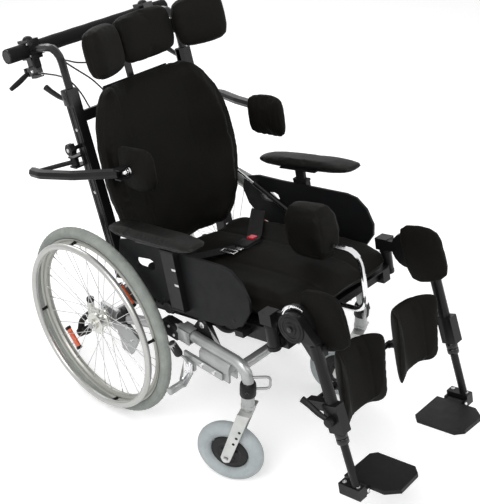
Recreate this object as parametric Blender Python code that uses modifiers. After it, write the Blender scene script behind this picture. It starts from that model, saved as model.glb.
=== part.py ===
"""Multifunction wheelchair: a care chair whose seat tilts, whose back reclines and whose legrests rise.

Metres, Z up. The sitter faces -Y, so the right-hand side of the chair is at -X.
Heights and depths of the chassis are counted from the floor and from the rear axle.
"""
import math

import bmesh
import bpy
from mathutils import Matrix, Vector

COLLECTION = "multifunction_wheelchair"
SIDES = ((-1, "right"), (1, "left"))
GAP = 0.0003
AXLE_Y = 0.354

# Rear wheels
WHEEL_RADIUS = 0.305
WHEEL_X = 0.292
WHEEL_SIDES = 32
TYRE_THICK = 0.035
RIM_HALF_WIDTH = 0.0135
RIM_DEPTH = 0.0125
RIM_CROWN = 0.0095
SPOKES = 24
SPOKE_RADIUS = 0.0011
SPOKE_SWEEP = math.radians(58)
HUB_RADIUS = 0.016
HUB_INNER = 0.026
HUB_OUTER = 0.030
FLANGE_X = 0.018
FLANGE_RADIUS = 0.028
FLANGE_HALF = 0.004
AXLE_RADIUS = 0.006
AXLE_BORE = 0.0066
PUSHRIM_X = 0.044
PUSHRIM_RING = 0.262
PUSHRIM_RADIUS = 0.010
PUSHRIM_SIDES = 24
STANDOFFS = 4
STANDOFF_TURN = 14.8
STANDOFF_RADIUS = 0.004

# Castors
CASTOR_RADIUS = 0.101
CASTOR_Y = -0.572
CASTOR_TRAIL = 0.052
CASTOR_TURN = 22.0
CASTOR_SIDES = 20
CASTOR_TYRE = 0.045
CASTOR_HUB_HALF = 0.015
CASTOR_BOSS_HALF = 0.020
CASTOR_AXLE = 0.004
CASTOR_BORE = 0.0046
FORK_LEG_X = 0.036
FORK_PLATE = 0.0045
FORK_TOP = 0.2757
STEM_RADIUS = 0.008
STEM_TOP = 0.346

# Chassis
RAIL_X = 0.252
RAIL_Z = 0.415
RAIL_RADIUS = 0.0165
RAIL_KNEE_Y = -0.315
RAIL_REAR_Y = -0.045
RAIL_BEND = 0.045
HOUSING_BOTTOM = 0.276
HOUSING_RADIUS = 0.019
SLEEVE_BOTTOM = 0.3245
SLEEVE_TOP = 0.361
SLEEVE_RADIUS = 0.021
CROSS_TUBE_Y = -0.538
CROSS_TUBE_Z = 0.395
CROSS_TUBE_RADIUS = 0.015
AXLE_TUBE_RADIUS = 0.0125
AXLE_PLATE_HALF = 0.006
AXLE_PLATE_REAR = 0.036
AXLE_PLATE_RISE = 0.036
AXLE_PLATE_TOE = (-0.132, -0.022)
AXLE_PLATE_FOOT = ((-0.094, -0.100), (-0.056, -0.095))
AXLE_SLEEVE_RADIUS = 0.014
AXLE_HEAD_RADIUS = 0.010
AXLE_HEAD = 0.008
GUSSET_X = (0.2235, 0.2400)
LOOP_RADIUS = 0.004
LOOP_TOP = 0.383
LOOP_BOTTOM = 0.343
LOOP_REACH = 0.060
BRACKET_Y = (-0.520, -0.410)
BRACKET_Z = (0.342, 0.403)
BRAKE_BAR_X = (0.2690, 0.2782)
BRAKE_BAR_Y = (-0.500, -0.350)
BRAKE_BAR_Z = (0.345, 0.369)

# Parking brakes
BRAKE_PIVOT = (-0.371, 0.335)
BRAKE_PLATE = 0.0045
BRAKE_PIN_RADIUS = 0.004
BRAKE_ROLLER = (0.026, -0.084)
BRAKE_ROLLER_RADIUS = 0.011
BRAKE_ROLLER_END = 0.334
BRAKE_GRIP_RADIUS = 0.012

# Seat
SEAT_PIVOT = (-0.390, 0.460)
SEAT_TILT = 13.0
SEAT_PIN_RADIUS = 0.008
SEAT_RAIL_X = (0.190, 0.220)
SEAT_RAIL_Y = (-0.300, 0.360)
SEAT_RAIL_Z = (-0.008, 0.036)
SEAT_RAIL_WALL = 0.006
SEAT_CROSS_Z = (0.001, 0.029)
FRONT_CROSS_Y = (-0.287, -0.258)
REAR_CROSS_Y = (0.300, 0.328)
PAN_Y = (-0.310, 0.285)
PAN_TOP = 0.0395
PAN_THICK = 0.004
CUSHION_HALF = 0.220
CUSHION_FRONT = -0.340
CUSHION_REAR = 0.285
CUSHION_TOP = 0.125
PANEL_X = 0.256
PANEL_THICK = 0.008
POST_SIZE = (0.020, 0.050)
POST_Y = 0.037
POST_Z = (0.055, 0.235)
POST_BAR = (0.011, 0.034)
POST_PLAY = 0.0005
ARM_PAD_X = (0.250, 0.345)
ARM_PAD_LENGTH = 0.380
ARM_PAD_CENTRES = {"right": 0.055, "left": 0.022}
ARM_PAD_Z = (0.265, 0.300)
BELT_THICK = 0.0025
BELT_WIDTH = 0.045
BELT_LIFT = 0.1300
BUCKLE_X = (-0.020, 0.052)
BUCKLE_Y = (0.014, 0.062)
BUCKLE_Z = (0.1275, 0.1415)
BUTTON_SIZE = (0.020, 0.022, 0.0078)
BUTTON_CENTRE = (0.034, 0.037)
BUTTON_TRAVEL = 0.003

# Pommel
POMMEL_HALF = 0.050
POMMEL_Y = (-0.305, -0.155)
POMMEL_Z = (0.144, 0.303)
POMMEL_BAR_RADIUS = 0.008
POMMEL_BAR_FRONT = -0.389
POMMEL_BAR_TOP = 0.190
POMMEL_BAR_END = -0.150
POMMEL_BAR_BEND = 0.045

# Springs: the tilt spring's ends and the recline spring's ends
SPRING_PIN = 0.004
SPRING_EYE = 0.010
SPRING_EYE_HALF = 0.006
SPRING_OPEN_BORE = 0.0078
LUG_INNER = 0.0085
LUG_OUTER = 0.0130
TILT_SPRING_FIXED = (-0.538, 0.357)
TILT_SPRING_LUG = (0.200, -0.060)
TILT_SPRING_RADIUS = 0.011
TILT_SPRING_BODY = 0.200
RECLINE_SPRING_X = 0.245
RECLINE_SPRING_FIXED = (0.063, 0.127)
RECLINE_SPRING_W = 0.200
RECLINE_SPRING_RADIUS = 0.009
RECLINE_SPRING_BODY = 0.170
SPRING_ROD = 0.0043
SPRING_BORE = 0.0053

# Back: u runs backward from the recline pivot, w runs up along the back
BACK_PIVOT = (0.345, 0.090)
BACK_ANGLE = 5.0
BACK_POST_X = 0.2185
BACK_POST_HALF = 0.0145
BACK_POST_U = (-0.0145, 0.0215)
BACK_POST_W = (-0.022, 0.553)
BACK_PIN_RADIUS = 0.008
BACK_BARS_W = ((0.100, 0.130), (0.455, 0.485))
BACK_BAR_DEPTH = 0.015
SHELL_THICK = 0.005
SHELL_W = (0.060, 0.530)
BACK_CUSHION_W = (0.006, 0.545)
BACK_CUSHION_FRONT = -0.060
BACK_BOLSTER_FRONT = -0.126
BACK_CUSHION_REAR = -0.023
BACK_HALF_WIDTHS = (
    (0.006, 0.165), (0.120, 0.222), (0.270, 0.262), (0.400, 0.243), (0.490, 0.216), (0.545, 0.160),
)

# Push bar
BAR_TUBE_RADIUS = 0.0115
BAR_W = 0.672
BAR_U = 0.140
BAR_LEG = 0.312
BAR_TUBE_BOTTOM = BAR_W - BAR_LEG
BAR_BEND = 0.045
GRIP_RADIUS = 0.021
GRIP_END = 0.300
CLAMP_HALF = 0.0185
LEVER_X = 0.249
LEVER_AHEAD = 0.010
LEVER_DROP = 0.058
LEVER_PIVOT = (LEVER_X, BAR_U - LEVER_AHEAD, BAR_W - LEVER_DROP)
LEVER_PIN = 0.003
LEVER_EYE = 0.0085
LEVER_EYE_HALF = 0.0043
LEVER_BLADE = ((0.007, -0.003), (0.039, -0.017), (0.075, -0.029))
CABLE_RADIUS = 0.0025

# Headrest
STEM_BAR = (0.010, 0.0045)
STEM_U = 0.0045
HEAD_W = 0.640
STEM_LENGTH = 0.250
STEM_W = (HEAD_W + 0.010 - STEM_LENGTH, HEAD_W + 0.010)
HEAD_BAR_U = (-0.072, -0.064)
HEAD_BAR_HEIGHT = 0.050
HEAD_BAR_W = (HEAD_W - HEAD_BAR_HEIGHT / 2, HEAD_W + HEAD_BAR_HEIGHT / 2)
HEAD_BAR_HALF = 0.104
HEAD_PAD_HALF = 0.098
HEAD_PAD_U = (-0.135, -0.0723)
HEAD_PAD_HEIGHT = 0.130
HEAD_PAD_LIFT = 0.003
HEAD_PAD_W = (HEAD_W + HEAD_PAD_LIFT - HEAD_PAD_HEIGHT / 2, HEAD_W + HEAD_PAD_LIFT + HEAD_PAD_HEIGHT / 2)
WING_HINGE = (0.112, -0.068)
WING_PIN = 0.004
WING_ANGLES = {"right": 25.0, "left": 35.0}
WING_SPAN = (0.018, 0.166)
WING_DEPTH = (-0.076, -0.010)
WING_HALF_HEIGHT = 0.0725

# Lateral supports
LATERAL_W = {"right": 0.350, "left": 0.362}
LATERAL_SLOPE = 7.0
LATERAL_PIVOT = (0.252, 0.030)
LATERAL_PIN = 0.005
LATERAL_EYE = 0.012
LATERAL_EYE_HALF = 0.011
LATERAL_TUBE = 0.0145
LATERAL_BAR = 0.007
LATERAL_ENDS = {"right": (0.249, -0.190), "left": (0.275, -0.262)}
LATERAL_PAD_THICK = 0.034
LATERAL_PAD_REACH = 0.065
LATERAL_PAD_HALF = 0.060

# Legrests: the swing axis and the knee hinge, in the seat's frame
SWING_AXIS = (0.245, -0.275)
RECEIVER_RADIUS = 0.0165
RECEIVER_TOP = 0.075
SWING_PIN = 0.010
KNEE = (0.250, -0.363, 0.089)
LEG_ANGLE = 9.5
LEG_FORWARD = 0.055
HANGER_DISC_X = (0.226, 0.238)
HANGER_DISC_RADIUS = 0.052
KNEE_PIN = 0.006
KNEE_HUB_RADIUS = 0.040
KNEE_HUB_X = (0.2385, 0.262)
LEG_TUBE_RADIUS = 0.0155
LEG_TUBE_END = -0.290
FOOT_TUBE_RADIUS = 0.011
FOOT_TUBE_Z = (-0.455, -0.185)
CALF_ROD = (0.016, -0.215)
CALF_ROD_RADIUS = 0.006
CALF_X = (0.030, 0.214)
CALF_TOP = -0.100
CALF_BOTTOM = -0.330
FOOT_HINGE = (0.228, -0.038, -0.464)
FOOT_HINGE_PIN = 0.004
PLATE_X = (0.012, 0.138)
PLATE_Y = (-0.109, 0.054)
PLATE_HALF_THICK = 0.006
KNEE_PAD_X = (0.196, 0.225)
KNEE_PAD_Y = (-0.138, -0.003)
KNEE_PAD_Z = (-0.085, 0.085)


# Scene and materials

def clear_scene():
    for item in list(bpy.data.objects):
        bpy.data.objects.remove(item, do_unlink=True)


def new_collection(name):
    collection = bpy.data.collections.new(name)
    bpy.context.scene.collection.children.link(collection)
    return collection


def principled(name, colour, roughness, metallic=0.0):
    """A material of its own for one part."""
    material = bpy.data.materials.new(name)
    material.use_nodes = True
    shader = material.node_tree.nodes["Principled BSDF"]
    shader.inputs["Base Color"].default_value = (*colour, 1.0)
    shader.inputs["Roughness"].default_value = roughness
    shader.inputs["Metallic"].default_value = metallic
    material.diffuse_color = (*colour, 1.0)
    return material


FINISHES = {
    "silver_paint": ((0.42, 0.43, 0.44), 0.35, 0.6),
    "polished": ((0.80, 0.80, 0.82), 0.12, 1.0),
    "black_paint": ((0.015, 0.015, 0.016), 0.30, 0.0),
    "black_plastic": ((0.020, 0.021, 0.022), 0.50, 0.0),
    "panel": ((0.035, 0.038, 0.038), 0.45, 0.0),
    "fabric": ((0.018, 0.018, 0.017), 0.80, 0.0),
    "arm_skin": ((0.022, 0.022, 0.020), 0.60, 0.0),
    "foam": ((0.012, 0.012, 0.012), 0.85, 0.0),
    "grey_tyre": ((0.27, 0.31, 0.29), 0.60, 0.0),
    "castor_tyre": ((0.38, 0.42, 0.44), 0.60, 0.0),
    "red": ((0.60, 0.01, 0.03), 0.40, 0.0),
}


# Shape helpers: each returns an object at the world's origin, in the frame that it is later hung on

def from_bmesh(name, mesh_data):
    bmesh.ops.recalc_face_normals(mesh_data, faces=mesh_data.faces[:])
    if mesh_data.calc_volume(signed=True) < 0:
        bmesh.ops.reverse_faces(mesh_data, faces=mesh_data.faces[:])
    mesh = bpy.data.meshes.new(name)
    mesh_data.to_mesh(mesh)
    mesh_data.free()
    item = bpy.data.objects.new(name, mesh)
    WORK.objects.link(item)
    return item


def bake(item, weld=0.0):
    """Replaces an object by the mesh that its modifiers or its curve give."""
    bpy.context.view_layer.update()
    graph = bpy.context.evaluated_depsgraph_get()
    mesh = bpy.data.meshes.new_from_object(item.evaluated_get(graph))
    mesh_data = bmesh.new()
    mesh_data.from_mesh(mesh)
    if weld:
        bmesh.ops.remove_doubles(mesh_data, verts=mesh_data.verts[:], dist=weld)
    mesh_data.transform(item.matrix_world)
    name = item.name
    bpy.data.objects.remove(item, do_unlink=True)
    bpy.data.meshes.remove(mesh)
    return from_bmesh(name, mesh_data)


def box(low, high):
    mesh_data = bmesh.new()
    low, high = Vector(low), Vector(high)
    size = high - low
    matrix = Matrix.Translation((low + high) / 2) @ Matrix.Diagonal((*size, 1.0))
    bmesh.ops.create_cube(mesh_data, size=1.0, matrix=matrix)
    return from_bmesh("box", mesh_data)


def block(side, x, y, z):
    """A box given by its spans, on the chair's right or left."""
    inner, outer = sorted((side * x[0], side * x[1]))
    return box((inner, y[0], z[0]), (outer, y[1], z[1]))


def rod(start, end, radius, sides=10, flats=False):
    """A round bar. With flats its faces, not its edges, lie at the radius, as a bore needs."""
    start, end = Vector(start), Vector(end)
    along = end - start
    turn = along.to_track_quat("Z", "Y").to_matrix().to_4x4()
    reach = radius / math.cos(math.pi / sides) if flats else radius
    mesh_data = bmesh.new()
    bmesh.ops.create_cone(
        mesh_data, cap_ends=True, segments=sides, radius1=reach, radius2=reach, depth=along.length,
        matrix=Matrix.Translation((start + end) / 2) @ turn,
    )
    return from_bmesh("rod", mesh_data)


def rounded_path(corners, radius, steps):
    """The corners of a path, each replaced by an arc."""
    corners = [Vector(corner) for corner in corners]
    path = [corners[0]]
    for before, corner, after in zip(corners, corners[1:], corners[2:]):
        back = (before - corner).normalized()
        ahead = (after - corner).normalized()
        half = back.angle(ahead) / 2
        reach = radius / math.tan(half)
        centre = corner + (back + ahead).normalized() * (radius / math.sin(half))
        first = corner + back * reach - centre
        last = corner + ahead * reach - centre
        sweep = first.angle(last)
        for step in range(steps + 1):
            share = step / steps
            spot = first * math.sin((1 - share) * sweep) + last * math.sin(share * sweep)
            path.append(centre + spot / math.sin(sweep))
    path.append(corners[-1])
    return path


def pipe(path, radius, resolution=2, closed=False):
    """A tube along a path: a curve with a round bevel and filled caps."""
    curve = bpy.data.curves.new("pipe", "CURVE")
    curve.dimensions = "3D"
    curve.bevel_depth = radius
    curve.bevel_resolution = resolution
    curve.use_fill_caps = not closed
    spline = curve.splines.new("POLY")
    spline.points.add(len(path) - 1)
    for point, spot in zip(spline.points, path):
        point.co = (*spot, 1.0)
    spline.use_cyclic_u = closed
    item = bpy.data.objects.new("pipe", curve)
    WORK.objects.link(item)
    return bake(item, weld=0.00001)


def smooth_path(spots, spacing):
    """Points at an even spacing along a smooth curve through the given spots."""
    spots = [Vector(spot) for spot in spots]
    ends = [spots[0] * 2 - spots[1]] + spots + [spots[-1] * 2 - spots[-2]]
    fine = [spots[0]]
    for p0, p1, p2, p3 in zip(ends, ends[1:], ends[2:], ends[3:]):
        for step in range(1, 13):
            t = step / 12
            fine.append(
                0.5 * (2 * p1 + (p2 - p0) * t + (2 * p0 - 5 * p1 + 4 * p2 - p3) * t ** 2
                       + (3 * p1 - p0 - 3 * p2 + p3) * t ** 3)
            )
    total = sum((b - a).length for a, b in zip(fine, fine[1:]))
    count = max(2, round(total / spacing))
    path, walked, target = [fine[0]], 0.0, total / count
    for a, b in zip(fine, fine[1:]):
        length = (b - a).length
        while walked + length >= target and len(path) < count:
            path.append(a.lerp(b, (target - walked) / length))
            target += total / count
        walked += length
    path.append(fine[-1])
    return path


def plate(outline, thickness, centre=(0.0, 0.0, 0.0), upright=True, holes=()):
    """A flat piece from its outline: in the YZ plane when upright, otherwise in XY."""
    curve = bpy.data.curves.new("plate", "CURVE")
    curve.dimensions = "2D"
    curve.fill_mode = "BOTH"
    curve.extrude = thickness / 2
    for loop in (outline, *holes):
        spline = curve.splines.new("POLY")
        spline.points.add(len(loop) - 1)
        for point, spot in zip(spline.points, loop):
            point.co = (spot[0], spot[1], 0.0, 1.0)
        spline.use_cyclic_u = True
    item = bpy.data.objects.new("plate", curve)
    WORK.objects.link(item)
    turn = Matrix(((0, 0, 1, 0), (1, 0, 0, 0), (0, 1, 0, 0), (0, 0, 0, 1))) if upright else Matrix()
    item.matrix_world = Matrix.Translation(centre) @ turn
    return bake(item, weld=0.00001)


def arc(centre, radius, start, end, steps):
    """Points along an arc, angles in degrees."""
    points = []
    for step in range(steps + 1):
        angle = math.radians(start + (end - start) * step / steps)
        points.append((centre[0] + radius * math.cos(angle), centre[1] + radius * math.sin(angle)))
    return points


def turned(profile, sides, centre=(0.0, 0.0, 0.0), axis="X", closed=False, flats=False):
    """A shape turned about an axis from (radius, distance along the axis) points."""
    stretch = 1 / math.cos(math.pi / sides) if flats else 1.0
    mesh = bpy.data.meshes.new("turned")
    spots = [(radius * stretch, 0.0, along) for radius, along in profile]
    edges = [(i, i + 1) for i in range(len(spots) - 1)]
    if closed:
        edges.append((len(spots) - 1, 0))
    mesh.from_pydata(spots, edges, [])
    item = bpy.data.objects.new("turned", mesh)
    WORK.objects.link(item)
    screw = item.modifiers.new("turn", "SCREW")
    screw.axis = "Z"
    screw.steps = sides
    screw.render_steps = sides
    screw.use_merge_vertices = True
    screw.merge_threshold = 0.00001
    turns = {
        "X": Matrix(((0, 0, 1, 0), (1, 0, 0, 0), (0, 1, 0, 0), (0, 0, 0, 1))),
        "Y": Matrix(((0, 1, 0, 0), (0, 0, 1, 0), (1, 0, 0, 0), (0, 0, 0, 1))),
        "Z": Matrix(),
    }
    half_step = Matrix.Rotation(math.pi / sides, 4, "Z")
    item.matrix_world = Matrix.Translation(centre) @ turns[axis] @ half_step
    return bake(item, weld=0.00001)


def eye(centre, axis, radius, bore, half, sides=10):
    """A ring that turns on a pin."""
    section = ((bore, half), (radius, half), (radius, -half), (bore, -half))
    return turned(section, sides, centre, axis, closed=True, flats=True)


def soft(columns, rows, shape, levels=1, low=None, high=None):
    """A padded form: a coarse cage, bent by a formula and subdivided, then fitted to its real size.

    shape takes across and along in -1 to 1, and 0 or 1 for the two faces.
    """
    mesh_data = bmesh.new()
    bmesh.ops.create_grid(mesh_data, x_segments=columns, y_segments=rows, size=1.0)
    grown = bmesh.ops.extrude_face_region(mesh_data, geom=mesh_data.faces[:])
    for part in grown["geom"]:
        if isinstance(part, bmesh.types.BMVert):
            part.co.z = 1.0
    for vertex in mesh_data.verts:
        vertex.co = Vector(shape(vertex.co.x, vertex.co.y, round(vertex.co.z)))
    item = from_bmesh("soft", mesh_data)
    smooth = item.modifiers.new("smooth", "SUBSURF")
    smooth.levels = levels
    smooth.render_levels = levels
    item = bake(item)
    if low is not None:
        fit_to(item, Vector(low), Vector(high))
    return item


def fit_to(item, low, high):
    """Stretches a mesh to the box that the real piece fills."""
    spots = [vertex.co for vertex in item.data.vertices]
    for axis in range(3):
        least = min(spot[axis] for spot in spots)
        most = max(spot[axis] for spot in spots)
        scale = (high[axis] - low[axis]) / (most - least)
        for vertex in item.data.vertices:
            vertex.co[axis] = low[axis] + (vertex.co[axis] - least) * scale


def moved(item, matrix):
    item.data.transform(matrix)
    return item


def joined(items):
    """Several shapes that don't touch, as one mesh for a cut or a union."""
    mesh_data = bmesh.new()
    for item in items:
        mesh_data.from_mesh(item.data)
        bpy.data.objects.remove(item, do_unlink=True)
    return from_bmesh("joined", mesh_data)


def combine(base, others, operation):
    for other in others:
        modifier = base.modifiers.new(operation.lower(), "BOOLEAN")
        modifier.operation = operation
        modifier.solver = "EXACT"
        modifier.object = other
    result = bake(base)
    for other in others:
        bpy.data.objects.remove(other, do_unlink=True)
    return result


def union(base, *others):
    return combine(base, others, "UNION")


def cut(base, *cutters):
    return combine(base, cutters, "DIFFERENCE")


def part(name, item, frame, finish):
    """Names a finished piece, hangs it on its frame and gives it its material."""
    mesh = item.data
    mesh.name = name
    item.name = name
    WORK.objects.unlink(item)
    PARTS.objects.link(item)
    item.parent = frame
    mesh.materials.clear()
    mesh.materials.append(principled(name, *FINISHES[finish]))
    mesh.shade_smooth()
    mesh.set_sharp_from_angle(angle=math.radians(35))
    return item


def frame(name, parent, place, tilt=0.0, turn=0.0):
    """An empty on a joint's axis, tilted about X and turned about Z."""
    empty = bpy.data.objects.new(name, None)
    empty.empty_display_size = 0.05
    PARTS.objects.link(empty)
    empty.parent = parent
    empty.location = place
    empty.rotation_euler = (math.radians(tilt), 0.0, math.radians(turn))
    return empty


def turn_about_x(point, degrees):
    """A (y, z) pair turned about the X axis."""
    angle = math.radians(degrees)
    y, z = point
    return (y * math.cos(angle) - z * math.sin(angle), y * math.sin(angle) + z * math.cos(angle))


def aim(start, end):
    """Tilt that points a frame's Z from start to end, and the distance between them."""
    along, up = end[0] - start[0], end[1] - start[1]
    return -math.degrees(math.atan2(along, up)), math.hypot(along, up)


# Rear wheels

def tyre_section(ring, half):
    """Section of a tyre, flat at its tread and at its seat."""
    flat = half / 2
    return (
        (ring + half, -flat), (ring + half, flat), (ring, half), (ring - half, flat), (ring - half, -flat),
        (ring, -half),
    )


def spoke_set():
    """Spokes laced from both flanges, with those that cross kept apart."""
    flange_ring = FLANGE_RADIUS - 0.0045
    rim_ring = WHEEL_RADIUS - TYRE_THICK - GAP - RIM_DEPTH + 0.002
    spokes = []
    for number in range(SPOKES):
        flange = 1 if number % 2 else -1
        lean = 1 if (number // 2) % 2 else -1
        rim_angle = 2 * math.pi * (number + 0.25) / SPOKES
        hub_angle = rim_angle + lean * SPOKE_SWEEP
        hub_x = flange * FLANGE_X + lean * 0.0022
        rim_x = flange * 0.0042 + lean * 0.0016
        start = (hub_x, flange_ring * math.cos(hub_angle), flange_ring * math.sin(hub_angle))
        end = (rim_x, rim_ring * math.cos(rim_angle), rim_ring * math.sin(rim_angle))
        spokes.append(rod(start, end, SPOKE_RADIUS, sides=3))
    return joined(spokes)


def rear_wheel(side, word, hub_frame):
    rim_top = WHEEL_RADIUS - TYRE_THICK - GAP
    flange_top = rim_top + 0.0042
    rim = (
        (rim_top, RIM_CROWN), (flange_top, RIM_HALF_WIDTH), (rim_top - RIM_DEPTH, RIM_HALF_WIDTH),
        (rim_top - RIM_DEPTH - 0.007, 0.0), (rim_top - RIM_DEPTH, -RIM_HALF_WIDTH),
        (flange_top, -RIM_HALF_WIDTH), (rim_top, -RIM_CROWN),
    )
    inner, outer = (HUB_INNER, HUB_OUTER) if side > 0 else (HUB_OUTER, HUB_INNER)
    low_flange = FLANGE_X - FLANGE_HALF
    high_flange = FLANGE_X + FLANGE_HALF
    hub = (
        (AXLE_BORE, -inner), (HUB_RADIUS, -inner), (HUB_RADIUS, -high_flange),
        (FLANGE_RADIUS, -high_flange), (FLANGE_RADIUS, -low_flange), (HUB_RADIUS, -low_flange),
        (HUB_RADIUS, low_flange), (FLANGE_RADIUS, low_flange), (FLANGE_RADIUS, high_flange),
        (HUB_RADIUS, high_flange), (HUB_RADIUS, outer), (AXLE_BORE, outer),
    )
    wheel = turned(rim, WHEEL_SIDES, closed=True, flats=True)
    barrel = turned(hub, 12, closed=True, flats=True)
    part(f"rear_wheel_{word}", union(wheel, barrel, spoke_set()), hub_frame, "silver_paint")
    half = TYRE_THICK / 2
    tyre = turned(tyre_section(WHEEL_RADIUS - half, half), WHEEL_SIDES, closed=True, flats=True)
    part(f"rear_tyre_{word}", tyre, hub_frame, "grey_tyre")
    pushrim(side, word, hub_frame)


def pushrim(side, word, hub_frame):
    section = []
    for corner in range(6):
        angle = math.radians(60 * corner)
        section.append((PUSHRIM_RING + PUSHRIM_RADIUS * math.cos(angle), PUSHRIM_RADIUS * math.sin(angle)))
    ring = turned(section, PUSHRIM_SIDES, (side * PUSHRIM_X, 0, 0), closed=True)
    tabs = []
    for number in range(STANDOFFS):
        angle = math.radians(STANDOFF_TURN) + 2 * math.pi * number / STANDOFFS
        spot = (PUSHRIM_RING * math.sin(angle), PUSHRIM_RING * math.cos(angle))
        start = (side * (RIM_HALF_WIDTH + GAP), *spot)
        tabs.append(rod(start, (side * PUSHRIM_X, *spot), STANDOFF_RADIUS, sides=6))
    part(f"pushrim_{word}", union(ring, joined(tabs)), hub_frame, "silver_paint")


# Castors

def castor_fork(word, swivel):
    """Bent plate: a crown below the stem housing and two legs raked back to the axle."""
    top = FORK_TOP - CASTOR_RADIUS
    leg = [(-0.018, top), (0.018, top), (CASTOR_TRAIL + 0.015, 0.004)]
    leg += arc((CASTOR_TRAIL, 0.0), 0.015, 0, -180, 4)
    legs = [plate(leg, FORK_PLATE, (x, 0, 0)) for x in (-FORK_LEG_X, FORK_LEG_X)]
    reach = FORK_LEG_X + FORK_PLATE / 2 - 0.0002
    crown = box((-reach, -0.0175, top - 0.0055), (reach, 0.0175, top - 0.0003))
    stem = rod((0, 0, top - 0.002), (0, 0, STEM_TOP - CASTOR_RADIUS), STEM_RADIUS)
    axle = rod((-reach - 0.004, CASTOR_TRAIL, 0), (reach + 0.004, CASTOR_TRAIL, 0), CASTOR_AXLE)
    part(f"castor_fork_{word}", union(crown, *legs, stem, axle), swivel, "silver_paint")


def castor_wheel(word, spin):
    half = CASTOR_TYRE / 2
    tyre = turned(tyre_section(CASTOR_RADIUS - half, half), CASTOR_SIDES, closed=True, flats=True)
    part(f"castor_tyre_{word}", tyre, spin, "castor_tyre")
    edge = CASTOR_RADIUS - CASTOR_TYRE - GAP
    hub = (
        (CASTOR_BORE, CASTOR_BOSS_HALF), (edge, CASTOR_HUB_HALF - 0.006), (edge, 0.006 - CASTOR_HUB_HALF),
        (CASTOR_BORE, -CASTOR_BOSS_HALF),
    )
    part(f"castor_hub_{word}", turned(hub, CASTOR_SIDES, closed=True, flats=True), spin, "black_plastic")


# Chassis

def side_rail(side):
    """Side tube that slopes down to the axle and bends into the castor housing, with its tie-down loop."""
    x = side * RAIL_X
    rear_z = WHEEL_RADIUS + (RAIL_Z - WHEEL_RADIUS) * RAIL_REAR_Y / RAIL_KNEE_Y
    corners = (
        (x, RAIL_REAR_Y, rear_z), (x, RAIL_KNEE_Y, RAIL_Z), (x, CASTOR_Y, RAIL_Z),
        (x, CASTOR_Y, SLEEVE_BOTTOM),
    )
    rail = pipe(rounded_path(corners, RAIL_BEND, 3), RAIL_RADIUS, resolution=3)
    housing = rod((x, CASTOR_Y, HOUSING_BOTTOM), (x, CASTOR_Y, SLEEVE_BOTTOM + 0.002), HOUSING_RADIUS)
    sleeve = rod((x, CASTOR_Y, SLEEVE_BOTTOM), (x, CASTOR_Y, SLEEVE_TOP), SLEEVE_RADIUS)
    diagonal = Vector((-side, -1, 0)).normalized() * LOOP_REACH
    start = Vector((x, CASTOR_Y, 0))
    loop = (
        start + Vector((0, 0, LOOP_TOP)), start + diagonal + Vector((0, 0, LOOP_TOP)),
        start + diagonal + Vector((0, 0, LOOP_BOTTOM)), start + Vector((0, 0, LOOP_BOTTOM)),
    )
    tie = pipe(rounded_path(loop, 0.010, 2), LOOP_RADIUS, resolution=1)
    return [rail, housing, sleeve, tie]


def axle_mount(side):
    """Plate at the rail's rear end, its sleeve and the quick-release axle that the wheel turns on."""
    rear, rise = AXLE_PLATE_REAR, AXLE_PLATE_RISE
    outline = [(rear, -rise), (rear, rise), (-rise, rise), AXLE_PLATE_TOE, *AXLE_PLATE_FOOT, (-rise, -rise)]
    outline = [(y, WHEEL_RADIUS + z) for y, z in outline]
    hanger = plate(outline, 2 * AXLE_PLATE_HALF, (side * RAIL_X, 0, 0))
    sleeve_end = WHEEL_X - HUB_INNER - 0.0015
    sleeve = rod((side * 0.240, 0, WHEEL_RADIUS), (side * sleeve_end, 0, WHEEL_RADIUS), AXLE_SLEEVE_RADIUS)
    head_start = WHEEL_X + HUB_OUTER + 0.002
    axle = rod((side * 0.250, 0, WHEEL_RADIUS), (side * (head_start + 0.002), 0, WHEEL_RADIUS), AXLE_RADIUS)
    head = rod(
        (side * head_start, 0, WHEEL_RADIUS), (side * (head_start + AXLE_HEAD), 0, WHEEL_RADIUS),
        AXLE_HEAD_RADIUS,
    )
    return [hanger, sleeve, axle, head]


def seat_gusset(side):
    """Bracket that carries the seat's tilt pivot above the rail, with its pin."""
    y, z = SEAT_PIVOT
    outline = [(y - 0.055, RAIL_Z - 0.010), (y + 0.055, RAIL_Z - 0.010)]
    outline += arc((y, z), 0.019, 20, 160, 4)
    thickness = GUSSET_X[1] - GUSSET_X[0]
    gusset = plate(outline, thickness, (side * sum(GUSSET_X) / 2, 0, 0))
    ends = (side * (GUSSET_X[1] - 0.004), side * (SEAT_RAIL_X[0] - 0.006))
    pin = rod((ends[0], y, z), (ends[1], y, z), SEAT_PIN_RADIUS)
    return [gusset, pin]


def brake_mount(side):
    """Channel clamped below the rail and the flat bar that the parking brake is bolted to."""
    channel_x = (RAIL_X - 0.016, BRAKE_BAR_X[0] + 0.002)
    channel = block(side, channel_x, BRACKET_Y, BRACKET_Z)
    groove_x = (channel_x[0] + 0.006, channel_x[1] - 0.006)
    groove = block(side, groove_x, (BRACKET_Y[0] - 0.01, BRACKET_Y[1] + 0.01), (0.30, BRACKET_Z[1] - 0.028))
    bar = block(side, BRAKE_BAR_X, BRAKE_BAR_Y, BRAKE_BAR_Z)
    y, z = BRAKE_PIVOT
    tongue = block(side, BRAKE_BAR_X, (y - 0.020, BRAKE_BAR_Y[1]), (z - 0.018, BRAKE_BAR_Z[1] - 0.002))
    return [cut(channel, groove), bar, tongue]


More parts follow.
